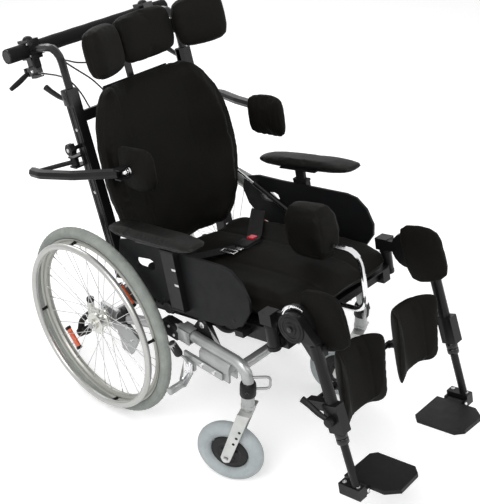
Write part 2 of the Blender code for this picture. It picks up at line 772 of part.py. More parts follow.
def spring_lugs(y, z, up):
    """Two lugs with a pin between them, reaching from the pin to the height up."""
    low, high = sorted((z, up))
    if z < up:
        low -= 0.010
    else:
        high += 0.010
    lugs = [box((x0, y - 0.012, low), (x1, y + 0.012, high))
            for x0, x1 in ((-LUG_OUTER, -LUG_INNER), (LUG_INNER, LUG_OUTER))]
    return [*lugs, rod((-LUG_OUTER + 0.001, y, z), (LUG_OUTER - 0.001, y, z), SPRING_PIN)]


def base_frame(chair):
    cross = (CROSS_TUBE_Y, CROSS_TUBE_Z)
    front = rod((-RAIL_X, *cross), (RAIL_X, *cross), CROSS_TUBE_RADIUS)
    pieces = [rod((-RAIL_X, 0, WHEEL_RADIUS), (RAIL_X, 0, WHEEL_RADIUS), AXLE_TUBE_RADIUS)]
    pieces += spring_lugs(*TILT_SPRING_FIXED, CROSS_TUBE_Z)
    cutters = []
    for side, _ in SIDES:
        pieces += side_rail(side) + axle_mount(side) + seat_gusset(side) + brake_mount(side)
        x = side * RAIL_X
        cutters.append(
            rod((x, CASTOR_Y, HOUSING_BOTTOM - 0.01), (x, CASTOR_Y, STEM_TOP + 0.004), STEM_RADIUS + 0.0004,
                flats=True)
        )
        ends = (BRAKE_BAR_X[0] - 0.004, BRAKE_BAR_X[1] + 0.004)
        cutters.append(
            rod((side * ends[0], *BRAKE_PIVOT), (side * ends[1], *BRAKE_PIVOT), BRAKE_PIN_RADIUS + 0.0004,
                flats=True)
        )
    part("base_frame", cut(union(front, *pieces), *cutters), chair, "silver_paint")


def parking_brake(side, word, pivot):
    """Plate, roller that presses on the tyre, lever and grip."""
    start = BRAKE_BAR_X[1] + GAP
    outline = [(-0.018, 0.014), (0.014, 0.019), (0.038, -0.075)]
    outline += arc(BRAKE_ROLLER, 0.014, -30, -150, 3)
    outline += [(-0.016, -0.028)]
    body = plate(outline, BRAKE_PLATE, (side * BRAKE_PLATE / 2, 0, 0))
    pin = rod((-side * 0.010, 0, 0), (side * (BRAKE_PLATE + 0.004), 0, 0), BRAKE_PIN_RADIUS)
    roller = rod((side * 0.001, *BRAKE_ROLLER), (side * (BRAKE_ROLLER_END - start), *BRAKE_ROLLER),
                 BRAKE_ROLLER_RADIUS)
    path = ((0.0052, -0.002, 0.004), (0.010, 0.005, 0.022), (0.028, 0.018, 0.048))
    bar = pipe([(side * x, y, z) for x, y, z in path], 0.004)
    grip = rod((side * 0.024, 0.015, 0.040), (side * 0.038, 0.027, 0.080), BRAKE_GRIP_RADIUS)
    part(f"parking_brake_{word}", union(body, pin, roller, bar, grip), pivot, "silver_paint")


# Seat

def receiver(side):
    """Socket at the seat's front corner that the legrest hooks into."""
    x = side * SWING_AXIS[0]
    post = rod((x, SWING_AXIS[1], 0.0), (x, SWING_AXIS[1], RECEIVER_TOP), RECEIVER_RADIUS)
    link_x = (SEAT_RAIL_X[1] - 0.005, SWING_AXIS[0] - 0.012)
    link = block(side, link_x, (SWING_AXIS[1] - 0.015, SWING_AXIS[1] + 0.015), (0.001, 0.027))
    ends = ((x, SWING_AXIS[1], -0.01), (x, SWING_AXIS[1], RECEIVER_TOP + 0.01))
    bore = rod(*ends, SWING_PIN + 0.0003, flats=True)
    return [post, link], bore


def recline_bracket(side):
    y, z = BACK_PIVOT
    inner = BACK_POST_X - BACK_POST_HALF - 0.0015
    ear = block(side, (inner - 0.012, inner), (y - 0.018, y + 0.018), (0.004, z + 0.018))
    pin = rod((side * (inner - 0.004), y, z), (side * (BACK_POST_X + BACK_POST_HALF), y, z), BACK_PIN_RADIUS)
    return [ear, pin]


def panel_lugs(side):
    """Tabs that the side panel is screwed to."""
    reach = (SEAT_RAIL_X[0] + 0.010, PANEL_X - GAP)
    front = block(side, reach, (-0.175, -0.145), (0.010, 0.027))
    rear = block(side, reach, (0.100, 0.130), (0.016, SEAT_RAIL_Z[1] - 0.001))
    return [front, rear]


def recline_spring_mount():
    """Upright plate beside the cushion, on the left only, with the pin of the recline spring."""
    y, z = RECLINE_SPRING_FIXED
    face = SEAT_RAIL_X[1] + 0.0015
    foot = block(1, (SEAT_RAIL_X[1] - 0.006, face + 0.005), (y - 0.015, y + 0.015), (0.002, 0.028))
    wall = block(1, (face, face + 0.005), (y - 0.0148, y + 0.0148), (0.003, z + 0.014))
    pin = rod((face + 0.001, y, z), (RECLINE_SPRING_X + 0.0085, y, z), SPRING_PIN)
    return [foot, wall, pin]


def seat_frame(seat):
    width = SEAT_RAIL_X[0] + 0.003
    reach = SEAT_RAIL_X[1] - 0.012
    pan = box((-reach, PAN_Y[0], PAN_TOP - PAN_THICK), (reach, PAN_Y[1], PAN_TOP))
    pieces = [box((-width, y0, SEAT_CROSS_Z[0]), (width, y1, SEAT_CROSS_Z[1]))
              for y0, y1 in (FRONT_CROSS_Y, REAR_CROSS_Y)]
    y, z = TILT_SPRING_LUG
    pieces.append(box((-width, y - 0.014, SEAT_CROSS_Z[0]), (width, y + 0.014, SEAT_CROSS_Z[1])))
    pieces += spring_lugs(y, z, SEAT_CROSS_Z[0] + 0.010)
    pieces += recline_spring_mount()
    bores = []
    for side, _ in SIDES:
        pieces.append(block(side, SEAT_RAIL_X, SEAT_RAIL_Y, SEAT_RAIL_Z))
        groove_x = (SEAT_RAIL_X[0] + SEAT_RAIL_WALL, SEAT_RAIL_X[1] - SEAT_RAIL_WALL)
        groove_y = (FRONT_CROSS_Y[1] + 0.004, REAR_CROSS_Y[0] - 0.004)
        groove_z = (SEAT_RAIL_Z[0] - 0.010, SEAT_RAIL_Z[1] - SEAT_RAIL_WALL)
        bores.append(block(side, groove_x, groove_y, groove_z))
        socket, bore = receiver(side)
        pieces += socket + recline_bracket(side) + panel_lugs(side)
        bores.append(bore)
        ends = (side * (SEAT_RAIL_X[0] - 0.01), side * (SEAT_RAIL_X[1] + 0.01))
        pin_bore = SEAT_PIN_RADIUS + 0.0004
        bores.append(rod((ends[0], 0, 0), (ends[1], 0, 0), pin_bore, flats=True))
    middle = sum(SEAT_CROSS_Z) / 2
    bores.append(
        rod((0, FRONT_CROSS_Y[0] - 0.01, middle), (0, FRONT_CROSS_Y[1] + 0.01, middle),
            POMMEL_BAR_RADIUS + 0.0004, flats=True)
    )
    part("seat_frame", cut(union(pan, *pieces), *bores), seat, "black_paint")


def seat_cushion(seat):
    """Foam with two thigh channels, a raised middle and sides, and drawn-in corners."""
    def shape(across, along, face):
        draw = 1 - 0.10 * max(0.0, -along) ** 4 - 0.05 * max(0.0, along) ** 4
        x = across * CUSHION_HALF * draw
        y = (CUSHION_FRONT + CUSHION_REAR) / 2 + along * (CUSHION_REAR - CUSHION_FRONT) / 2
        if not face:
            return x, y, PAN_TOP
        channel = 0.018 * math.sin(math.pi * min(1.0, abs(across) / 0.9)) ** 2
        return x, y, CUSHION_TOP - channel - 0.012 * max(0.0, -along) ** 3

    low = (-CUSHION_HALF, CUSHION_FRONT, PAN_TOP + 0.0005)
    high = (CUSHION_HALF, CUSHION_REAR, CUSHION_TOP)
    part("seat_cushion", soft(8, 4, shape, 1, low, high), seat, "fabric")


def side_panel(side, word, seat):
    """Clothes guard with its carrying slot."""
    outline = [
        (-0.226, 0.100), (-0.231, 0.134), (-0.213, 0.179), (-0.181, 0.209), (-0.145, 0.218), (0.110, 0.226),
        (0.200, 0.232), (0.262, 0.222), (0.278, 0.180), (0.262, 0.132), (0.225, 0.095), (0.141, 0.054),
        (0.060, 0.036), (-0.100, 0.034), (-0.185, 0.050),
    ]
    slot = arc((0.140, 0.166), 0.017, 90, 270, 4) + arc((0.190, 0.166), 0.014, -90, 90, 4)
    panel = plate(outline, PANEL_THICK, (side * (PANEL_X + PANEL_THICK / 2), 0, 0), holes=(slot,))
    part(f"side_panel_{word}", panel, seat, "panel")


def armrest_post(side, word, seat):
    """Box socket on the outside of the panel."""
    start = PANEL_X + PANEL_THICK + GAP
    x = (start, start + POST_SIZE[0])
    y = (POST_Y - POST_SIZE[1] / 2, POST_Y + POST_SIZE[1] / 2)
    centre = start + POST_SIZE[0] / 2
    half_x = POST_BAR[0] / 2 + POST_PLAY
    half_y = POST_BAR[1] / 2 + POST_PLAY
    bore = block(side, (centre - half_x, centre + half_x), (POST_Y - half_y, POST_Y + half_y),
                 (POST_Z[0] - 0.01, POST_Z[1] + 0.01))
    part(f"armrest_post_{word}", cut(block(side, x, y, POST_Z), bore), seat, "black_paint")


def armrest_pad(side, word, slide):
    """Upholstered pad on the flat bar that slides in the post."""
    middle = ARM_PAD_CENTRES[word]

    def shape(across, along, face):
        taper = 1 - 0.30 * max(0.0, along) ** 3 - 0.18 * max(0.0, -along) ** 3
        centre = (ARM_PAD_X[0] + ARM_PAD_X[1]) / 2 - 0.006 * along
        x = side * (centre + across * 0.0475 * taper)
        y = middle + along * ARM_PAD_LENGTH / 2
        return x, y, ARM_PAD_Z[face] + (0.004 * (1 - across ** 2) if face else 0.0)

    x = sorted(side * value for value in ARM_PAD_X)
    half = ARM_PAD_LENGTH / 2
    low = (x[0], middle - half, ARM_PAD_Z[0])
    high = (x[1], middle + half, ARM_PAD_Z[1])
    cushion = soft(2, 4, shape, 1, low, high)
    centre = PANEL_X + PANEL_THICK + GAP + POST_SIZE[0] / 2
    bar_x = (centre - POST_BAR[0] / 2, centre + POST_BAR[0] / 2)
    bar_y = (POST_Y - POST_BAR[1] / 2, POST_Y + POST_BAR[1] / 2)
    bar = block(side, bar_x, bar_y, (POST_Z[0] + 0.040, ARM_PAD_Z[0] + 0.014))
    part(f"armrest_pad_{word}", union(cushion, bar), slide, "arm_skin")


def strap(side):
    """One half of the lap belt: up the cushion's side and across to the buckle."""
    flank = CUSHION_HALF + BELT_THICK / 2 + 0.0005
    buckle_end = BUCKLE_X[1] if side > 0 else -BUCKLE_X[0]
    route = [
        (flank, 0.205, 0.012), (flank, 0.200, 0.060), (flank, 0.190, 0.117),
        (flank - 0.011, 0.181, BELT_LIFT),
        (0.130, 0.112, BELT_LIFT + 0.002), (buckle_end - 0.010, 0.042, BELT_LIFT + 0.004),
    ]
    points = [Vector((side * x, y, z)) for x, y, z in route]
    count = len(points) - 1

    def shape(across, along, face):
        number = round((across + 1) / 2 * count)
        before = points[max(0, number - 1)]
        after = points[min(count, number + 1)]
        normal = (after - before).cross(Vector((0, 1, 0))).normalized()
        offset = normal * BELT_THICK * (face - 0.5) + Vector((0, 1, 0)) * along * BELT_WIDTH / 2
        return points[number] + offset

    return soft(count, 1, shape, levels=0)


def lap_belt(seat):
    buckle = box((BUCKLE_X[0], BUCKLE_Y[0], BUCKLE_Z[0]), (BUCKLE_X[1], BUCKLE_Y[1], BUCKLE_Z[1]))
    half = (BUTTON_SIZE[0] / 2 + 0.0005, BUTTON_SIZE[1] / 2 + 0.0005)
    pocket_floor = BUCKLE_Z[1] - BUTTON_SIZE[2] - 0.001
    x, y = BUTTON_CENTRE
    pocket = box((x - half[0], y - half[1], pocket_floor), (x + half[0], y + half[1], BUCKLE_Z[1] + 0.01))
    belt = cut(union(buckle, strap(-1), strap(1)), pocket)
    part("lap_belt", belt, seat, "fabric")


def belt_button(slide):
    x, y = BUTTON_CENTRE
    top = BUCKLE_Z[1] + BUTTON_TRAVEL + 0.0005
    half = (BUTTON_SIZE[0] / 2, BUTTON_SIZE[1] / 2)
    button = box((x - half[0], y - half[1], top - BUTTON_SIZE[2]), (x + half[0], y + half[1], top))
    part("belt_button", button, slide, "red")


def pommel(slide):
    def shape(across, along, face):
        x = across * POMMEL_HALF * (1 - 0.16 * along)
        y = (POMMEL_Y[0] + POMMEL_Y[1]) / 2 + along * (POMMEL_Y[1] - POMMEL_Y[0]) / 2
        return x, y, POMMEL_Z[face]

    low = (-POMMEL_HALF, POMMEL_Y[0], POMMEL_Z[0])
    high = (POMMEL_HALF, POMMEL_Y[1], POMMEL_Z[1])
    part("pommel_pad", soft(2, 3, shape, 1, low, high), slide, "fabric")
    middle = sum(SEAT_CROSS_Z) / 2
    corners = (
        (0, POMMEL_Y[0] - 0.0005, POMMEL_BAR_TOP), (0, POMMEL_BAR_FRONT, POMMEL_BAR_TOP),
        (0, POMMEL_BAR_FRONT, middle), (0, POMMEL_BAR_END, middle),
    )
    bar = pipe(rounded_path(corners, POMMEL_BAR_BEND, 5), POMMEL_BAR_RADIUS)
    part("pommel_bar", bar, slide, "polished")


# Gas springs: a frame's Z runs along the spring from its fixed eye

def spring_cylinder(name, pivot, x, radius, length):
    body = turned(
        ((0, 0.002), (0.0072, 0.002), (0.0072, 0.018), (radius, 0.022), (radius, length),
         (SPRING_BORE, length), (SPRING_BORE, 0.030), (0, 0.030)),
        10, (x, 0, 0), "Z",
    )
    half = SPRING_EYE_HALF
    ring = turned(
        ((0, half), (SPRING_EYE, half), (SPRING_EYE, -half), (0, -half)),
        10, (x, 0, 0), "X", flats=True,
    )
    bore = rod((x - 0.02, 0, 0), (x + 0.02, 0, 0), SPRING_PIN + 0.0005, flats=True)
    part(name, cut(union(body, ring), bore), pivot, "silver_paint")


def spring_rod(name, slide, x, length):
    bar = rod((x, 0, 0.055), (x, 0, length - SPRING_OPEN_BORE - 0.001), SPRING_ROD)
    ring = eye((x, 0, length), "X", SPRING_OPEN_BORE + 0.004, SPRING_OPEN_BORE, SPRING_EYE_HALF)
    part(name, union(bar, ring), slide, "polished")


# Back

def back_post(side):
    x = (BACK_POST_X - BACK_POST_HALF, BACK_POST_X + BACK_POST_HALF)
    return block(side, x, BACK_POST_U, BACK_POST_W)


def lateral_bracket(side, word):
    """Ears on the post that the lateral support's arm swings between, with the clamp knob above."""
    w = LATERAL_W[word]
    x, u = LATERAL_PIVOT
    inner = LATERAL_EYE_HALF + 0.0008
    ears = [block(side, (BACK_POST_X + 0.004, x + 0.012), (u - 0.016, u + 0.012), span)
            for span in ((w - inner - 0.005, w - inner), (w + inner, w + inner + 0.005))]
    pin = rod((side * x, u, w - inner - 0.003), (side * x, u, w + inner + 0.003), LATERAL_PIN)
    slope = Matrix.Rotation(math.radians(LATERAL_SLOPE), 4, "X")
    slope = Matrix.Translation((0, u, w)) @ slope @ Matrix.Translation((0, -u, -w))
    ears = [moved(item, slope) for item in (*ears, pin)]
    knob_w = w + 0.042
    shaft = rod((side * BACK_POST_X, 0.004, knob_w), (side * 0.264, 0.004, knob_w), 0.006, sides=8)
    knob = rod((side * 0.262, 0.004, knob_w), (side * 0.280, 0.004, knob_w), 0.016)
    return [*ears, shaft, knob]


def height_clamp(side):
    """Lever on the post's top that clamps the push bar's tube."""
    x, top = BACK_POST_X, BACK_POST_W[1]
    collar = block(side, (x - 0.013, x + 0.0165), (0.004, 0.0265), (top - 0.045, top - 0.002))
    path = ((0.0035, 0.020, -0.029), (0.0075, 0.045, -0.022), (0.0095, 0.095, 0.007))
    lever = pipe([(side * (x + out), u, top + rise) for out, u, rise in path], 0.0055)
    return [collar, lever]


def back_frame(back):
    u0 = BACK_POST_U[0]
    width = BACK_POST_X - BACK_POST_HALF + 0.002
    bars = [box((-width, u0, w0), (width, u0 + BACK_BAR_DEPTH, w1)) for w0, w1 in BACK_BARS_W]
    middle = sum(BACK_BARS_W[1]) / 2
    holder = box((-0.020, -0.012, middle - 0.050), (0.020, 0.0185, middle + 0.050))
    pieces = [bars[1], holder]
    bores = [box((-STEM_BAR[0] - 0.0005, STEM_U - STEM_BAR[1] - 0.0005, middle - 0.070),
                 (STEM_BAR[0] + 0.0005, STEM_U + STEM_BAR[1] + 0.0005, middle + 0.070))]
    for side, word in SIDES:
        pieces += [back_post(side), *lateral_bracket(side, word), *height_clamp(side)]
        x = side * BACK_POST_X
        u = sum(BACK_POST_U) / 2
        ends = (BAR_TUBE_BOTTOM - 0.02, BACK_POST_W[1] + 0.047)
        bores.append(rod((x, u, ends[0]), (x, u, ends[1]), BAR_TUBE_RADIUS + 0.0003, flats=True))
        ends = (side * (BACK_POST_X - 0.03), side * (BACK_POST_X + 0.03))
        bores.append(rod((ends[0], 0, 0), (ends[1], 0, 0), BACK_PIN_RADIUS + 0.0004, flats=True))
    x = RECLINE_SPRING_X
    pieces.append(rod((BACK_POST_X, 0, RECLINE_SPRING_W), (x + 0.0085, 0, RECLINE_SPRING_W), SPRING_PIN))
    part("back_frame", cut(union(bars[0], *pieces), *bores), back, "black_paint")


def back_half_width(w):
    """Half width of the backrest: widest at the ribs, drawn in at the seat and at the shoulders."""
    for (w0, x0), (w1, x1) in zip(BACK_HALF_WIDTHS, BACK_HALF_WIDTHS[1:]):
        if w <= w1:
            return x0 + (x1 - x0) * (w - w0) / (w1 - w0)
    return BACK_HALF_WIDTHS[-1][1]


def wrap(x):
    """How far the back has curved forward round the sitter, by distance from its middle."""
    return 0.055 * max(0.0, (abs(x) - 0.140) / 0.120) ** 1.6


def back_cushion(back):
    """Contoured pad: a flat middle between bolsters, rounded shoulders and a soft lower edge."""
    def shape(across, along, face):
        w = sum(BACK_CUSHION_W) / 2 + along * (BACK_CUSHION_W[1] - BACK_CUSHION_W[0]) / 2
        x = across * back_half_width(w)
        if not face:
            return x, BACK_CUSHION_REAR - wrap(x), w
        share = min(1.0, max(0.0, (abs(across) - 0.45) / 0.45))
        bolster = (BACK_CUSHION_FRONT - BACK_BOLSTER_FRONT) * share
        return x, BACK_CUSHION_FRONT - bolster + 0.020 * along ** 4, w

    widest = max(width for _, width in BACK_HALF_WIDTHS) - 0.003
    low = (-widest, BACK_BOLSTER_FRONT + 0.004, BACK_CUSHION_W[0])
    high = (widest, BACK_CUSHION_REAR, BACK_CUSHION_W[1])
    part("back_cushion", soft(8, 5, shape, 1, low, high), back, "fabric")


def back_shell(back):
    """Moulded shell that carries the cushion."""
    def shape(across, along, face):
        w = sum(SHELL_W) / 2 + along * (SHELL_W[1] - SHELL_W[0]) / 2
        x = across * (back_half_width(w) - 0.055)
        u = BACK_POST_U[0] - 0.0005 - SHELL_THICK * (1 - face) - wrap(x)
        return x, u, w

    part("back_shell", soft(8, 4, shape, levels=0), back, "black_plastic")


# Push bar

def push_bar(slide):
    """U-shaped bar: tubes that slide in the posts, clamps, foam ends and the lever housings."""
    post_u = sum(BACK_POST_U) / 2
    bar = rod((-GRIP_END + 0.010, BAR_U, BAR_W), (GRIP_END - 0.010, BAR_U, BAR_W), 0.011)
    pieces = []
    for side, _ in SIDES:
        x = side * BACK_POST_X
        corners = ((x, post_u, BAR_TUBE_BOTTOM), (x, post_u, BAR_W), (x, BAR_U, BAR_W))
        pieces.append(pipe(rounded_path(corners, BAR_BEND, 4), BAR_TUBE_RADIUS))
        span = (BACK_POST_X - CLAMP_HALF, BACK_POST_X + CLAMP_HALF)
        pieces.append(block(side, span, (BAR_U - 0.026, BAR_U + 0.026), (BAR_W - 0.027, BAR_W + 0.029)))
        ends = (side * (span[1] - 0.002), side * GRIP_END)
        pieces.append(rod((ends[0], BAR_U, BAR_W), (ends[1], BAR_U, BAR_W), GRIP_RADIUS))
        pieces += lever_housing(side)
    part("push_bar_tube", union(bar, *pieces), slide, "black_paint")
    grip = eye((0, BAR_U, BAR_W), "X", GRIP_RADIUS, 0.0115, BACK_POST_X - CLAMP_HALF - GAP)
    part("push_bar_grip", grip, slide, "foam")


def lever_housing(side):
    x, u, w = LEVER_PIVOT
    inner = LEVER_EYE_HALF + 0.0005
    depth = (u - inner - 0.007, u + inner + 0.007)
    body = block(side, (0.212, x - LEVER_EYE - 0.0005), depth, (w - 0.022, BAR_W - 0.015))
    cheeks = [block(side, (x - 0.014, x + 0.009), span, (w - 0.012, w + 0.012))
              for span in ((u - inner - 0.0068, u - inner), (u + inner, u + inner + 0.0068))]
    pin = rod((side * x, u - inner - 0.002, w), (side * x, u + inner + 0.002, w), LEVER_PIN, sides=8)
    return [body, *cheeks, pin]


def hand_lever(side, word, pivot):
    """Blade under the foam end that releases a gas spring."""
    ring = eye((0, 0, 0), "Y", LEVER_EYE, LEVER_PIN + 0.0005, LEVER_EYE_HALF)
    blade = pipe([(side * x, 0, w) for x, w in LEVER_BLADE], LEVER_EYE_HALF)
    part(f"hand_lever_{word}", union(ring, blade), pivot, "black_plastic")


TILT_CABLE = (
    (-0.226, 0.1173, 0.604), (-0.225, 0.085, 0.600), (-0.205, 0.050, 0.586), (-0.186, 0.030, 0.560),
    (-0.170, 0.022, 0.520), (-0.163, 0.016, 0.484), (-0.162, 0.0022, 0.470),
)
RECLINE_CABLE = (
    (0.226, 0.1173, 0.604), (0.223, 0.098, 0.601), (0.190, 0.083, 0.590), (0.120, 0.078, 0.580),
    (0.000, 0.080, 0.578), (-0.110, 0.074, 0.600), (-0.168, 0.056, 0.622), (-0.188, 0.034, 0.622),
    (-0.160, 0.030, 0.592), (-0.120, 0.028, 0.552), (-0.092, 0.024, 0.510), (-0.080, 0.016, 0.482),
    (-0.079, 0.0022, 0.470),
)


def cables(back):
    for name, route in (("tilt_cable", TILT_CABLE), ("recline_cable", RECLINE_CABLE)):
        path = smooth_path(route, CABLE_RADIUS * 6)
        part(name, pipe(path, CABLE_RADIUS), back, "black_plastic")


# Headrest

def headrest(slide):
    u = STEM_U
    half_x, half_u = STEM_BAR
    stem = box((-half_x, u - half_u, STEM_W[0]), (half_x, u + half_u, STEM_W[1]))
    low = (-half_x + 0.0002, HEAD_BAR_U[1] - 0.002, STEM_W[1] - 0.014)
    neck = box(low, (half_x - 0.0002, u + half_u - 0.0002, STEM_W[1] - 0.0005))
    bar = box((-HEAD_BAR_HALF, HEAD_BAR_U[0], HEAD_BAR_W[0]), (HEAD_BAR_HALF, HEAD_BAR_U[1], HEAD_BAR_W[1]))
    pieces = [neck, bar]
    for side, _ in SIDES:
        x, hinge_u = WING_HINGE
        tab_x = (HEAD_BAR_HALF - 0.010, x + 0.005)
        tab_u = (hinge_u - 0.0038, hinge_u + 0.0042)
        for middle in (HEAD_BAR_W[0] - 0.0025, HEAD_BAR_W[1] + 0.0025):
            pieces.append(block(side, tab_x, tab_u, (middle - 0.0035, middle + 0.0035)))
        ends = (HEAD_BAR_W[0] - 0.003, HEAD_BAR_W[1] + 0.003)
        pieces.append(rod((side * x, hinge_u, ends[0]), (side * x, hinge_u, ends[1]), WING_PIN, sides=8))
    part("headrest_stem", union(stem, *pieces), slide, "black_paint")

    def shape(across, along, face):
        x = across * HEAD_PAD_HALF
        w = sum(HEAD_PAD_W) / 2 + along * (HEAD_PAD_W[1] - HEAD_PAD_W[0]) / 2
        dish = 0.008 * across ** 2
        return x, HEAD_PAD_U[1] if not face else HEAD_PAD_U[0] - dish, w

    low = (-HEAD_PAD_HALF, HEAD_PAD_U[0], HEAD_PAD_W[0])
    high = (HEAD_PAD_HALF, HEAD_PAD_U[1], HEAD_PAD_W[1])
    part("headrest_pad", soft(3, 2, shape, 1, low, high), slide, "fabric")


def headrest_wing(side, word, hinge):
    """Side pad, built along its own span, with the hinge eye behind its inner end."""
    def shape(across, along, face):
        span = sum(WING_SPAN) / 2 + across * (WING_SPAN[1] - WING_SPAN[0]) / 2
        tall = WING_HALF_HEIGHT * (1 - 0.10 * abs(across) ** 3)
        depth = WING_DEPTH[0] if face else WING_DEPTH[1]
        return side * span, depth, along * tall

    span = sorted(side * value for value in WING_SPAN)
    low = (span[0], WING_DEPTH[0], -WING_HALF_HEIGHT)
    pad = soft(3, 2, shape, 1, low, (span[1], WING_DEPTH[1], WING_HALF_HEIGHT))
    half = (HEAD_BAR_W[1] - HEAD_BAR_W[0]) / 2 - 0.0015
    ring = turned(((0, half), (0.0072, half), (0.0072, -half), (0, -half)), 10, (0, 0, 0), "Z")
    neck = block(side, (0.001, 0.050), (-0.0152, -0.0015), (-half + 0.004, half - 0.004))
    bore = rod((0, 0, -0.05), (0, 0, 0.05), WING_PIN + 0.0005, sides=8, flats=True)
    part(f"headrest_wing_{word}", cut(union(pad, ring, neck), bore), hinge, "fabric")


# Lateral supports

def lateral_arm(side, word, pivot):
    """Bent arm from the post, round the arm of the sitter, to the pad's pivot."""
    x, u = LATERAL_PIVOT
    end_x, end_u = LATERAL_ENDS[word]

    def place(px, pu):
        return side * (px - x), pu - u, 0.0

    hook = ((end_x + 0.014, end_u + 0.012), (0.330, -0.062), (0.364, 0.040), (0.362, 0.082))
    tube = pipe(rounded_path([place(*spot) for spot in hook], 0.030, 2), LATERAL_TUBE)
    bar = pipe([place(0.362, 0.074), place(0.300, 0.050), place(x + 0.008, u + 0.002)], LATERAL_BAR)
    ring = eye((0, 0, 0), "Z", LATERAL_EYE, LATERAL_PIN + 0.0005, LATERAL_EYE_HALF)
    ear_w = LATERAL_EYE_HALF + 0.0008
    ears = [block(side, (end_x - x - 0.009, end_x - x + 0.026), (end_u - u - 0.009, end_u - u + 0.016), span)
            for span in ((-ear_w - 0.004, -ear_w), (ear_w, ear_w + 0.004))]
    foot = (side * (end_x - x), end_u - u)
    pin = rod((*foot, -ear_w - 0.002), (*foot, ear_w + 0.002), WING_PIN, sides=8)
    part(f"lateral_arm_{word}", union(ring, bar, tube, *ears, pin), pivot, "black_paint")


def lateral_pad(side, word, pivot):
    """Curved trunk pad with the knuckle that turns on the arm's pin."""
    def shape(across, along, face):
        u = across * LATERAL_PAD_REACH
        curve = 0.010 * across ** 2
        x = -0.010 - (LATERAL_PAD_THICK if not face else 0.0) - curve
        return side * x, u, along * LATERAL_PAD_HALF * (1 - 0.12 * across ** 2)

    near = -0.011
    span = sorted((side * (near - LATERAL_PAD_THICK - 0.008), side * near))
    low = (span[0], -LATERAL_PAD_REACH - 0.008, -LATERAL_PAD_HALF)
    high = (span[1], LATERAL_PAD_REACH - 0.008, LATERAL_PAD_HALF)
    pad = soft(3, 2, shape, 1, low, high)
    ring = turned(((0, 0.0110), (0.0085, 0.0110), (0.0085, -0.0110), (0, -0.0110)), 10, (0, 0, 0), "Z")
    neck = block(side, (-0.022, -0.002), (-0.006, 0.006), (-0.010, 0.010))
    bore = rod((0, 0, -0.03), (0, 0, 0.03), WING_PIN + 0.0005, sides=8, flats=True)
    part(f"lateral_pad_{word}", cut(union(pad, ring, neck), bore), pivot, "fabric")


# Legrests

def legrest_hanger(side, word, swing):
    """Hook pin, head and the toothed disc beside the knee hinge."""
    x0, y0 = SWING_AXIS
    knee_x, knee_y, knee_z = KNEE
    disc_x = (HANGER_DISC_X[0] - x0, HANGER_DISC_X[1] - x0)
    pin = rod((0, 0, 0.004), (0, 0, RECEIVER_TOP + 0.010), SWING_PIN)
    head = block(side, (disc_x[0] + 0.0002, 0.017), (-0.020, 0.020), (RECEIVER_TOP + 0.0005, 0.110))
    arm = block(side, disc_x, (knee_y - y0, 0.0), (0.078, 0.108))
    spot = (knee_y - y0, knee_z)
    disc = rod((side * disc_x[0], *spot), (side * disc_x[1], *spot), HANGER_DISC_RADIUS, sides=20)
    axle = rod((side * (disc_x[1] - 0.003), *spot), (side * (KNEE_HUB_X[1] + 0.002 - x0), *spot), KNEE_PIN)
    part(f"legrest_hanger_{word}", union(head, pin, arm, disc, axle), swing, "black_paint")


def leg_tube(side, word, leg):
    """Hub, outer tube, height clamp, the calf pad's rod and the knee pad's bracket."""
    x0 = KNEE[0]
    ends = (side * (KNEE_HUB_X[0] - x0), side * (KNEE_HUB_X[1] - x0))
    hub = rod((ends[0], 0, 0), (ends[1], 0, 0), KNEE_HUB_RADIUS, sides=14)
    front = -LEG_FORWARD
    tube = rod((0, front, -0.045), (0, front, LEG_TUBE_END), LEG_TUBE_RADIUS)
    neck_x = (KNEE_HUB_X[0] + 0.0002 - x0, KNEE_HUB_X[1] - 0.0002 - x0)
    neck = plate([(-0.038, 0.010), (front - 0.012, -0.040), (front - 0.010, -0.085), (front + 0.012, -0.085),
                  (-0.020, -0.034)], neck_x[1] - neck_x[0], (side * sum(neck_x) / 2, 0, 0))
    clamp = block(side, (-0.0138, 0.018), (front - 0.026, front + 0.020), (-0.285, -0.205))
    knob = rod((side * 0.016, front, -0.246), (side * 0.034, front, -0.246), 0.012)
    y, z = CALF_ROD
    carrier = block(side, (-0.0136, 0.010), (front + 0.008, y + 0.010), (z - 0.013, z + 0.013))
    bar = rod((-side * 0.010, y, z), (side * (CALF_X[0] + 0.008 - x0), y, z), CALF_ROD_RADIUS)
    knee = block(side, (KNEE_PAD_X[1] + GAP - x0, -0.004), (front - 0.011, front + 0.011), (-0.082, -0.056))
    inner = FOOT_TUBE_RADIUS + 0.0004
    bore = rod((0, front, LEG_TUBE_END - 0.01), (0, front, -0.095), inner, flats=True)
    pin_bore = rod((-0.03, 0, 0), (0.03, 0, 0), KNEE_PIN + 0.0004, flats=True)
    body = union(tube, hub, neck, clamp, knob, carrier, bar, knee)
    part(f"leg_tube_{word}", cut(body, bore, pin_bore), leg, "black_paint")


def foot_hinge_turn():
    """Places the footplate's own axes in the leg's frame."""
    x, y, z = FOOT_HINGE
    return Matrix.Rotation(math.radians(LEG_ANGLE), 4, "X"), Vector((x - KNEE[0], y, z))


def foot_tube(side, word, slide):
    """Inner tube with the footplate's hinge block."""
    tube = rod((0, -LEG_FORWARD, FOOT_TUBE_Z[1]), (0, -LEG_FORWARD, FOOT_TUBE_Z[0]), FOOT_TUBE_RADIUS)
    body = block(side, (0.0086, 0.036), (-0.034, 0.034), (-0.013, 0.020))
    spans = ((-0.0338, -0.026), (0.026, 0.0338))
    lugs = [block(side, (-0.006, 0.011), span, (-0.009, 0.009)) for span in spans]
    pin = rod((0, -0.033, 0), (0, 0.033, 0), FOOT_HINGE_PIN, sides=8)
    turn, offset = foot_hinge_turn()
    matrix = Matrix.Translation((side * offset.x, offset.y, offset.z)) @ turn
    hinge = [moved(item, matrix) for item in (body, *lugs, pin)]
    part(f"foot_tube_{word}", union(tube, *hinge), slide, "black_paint")


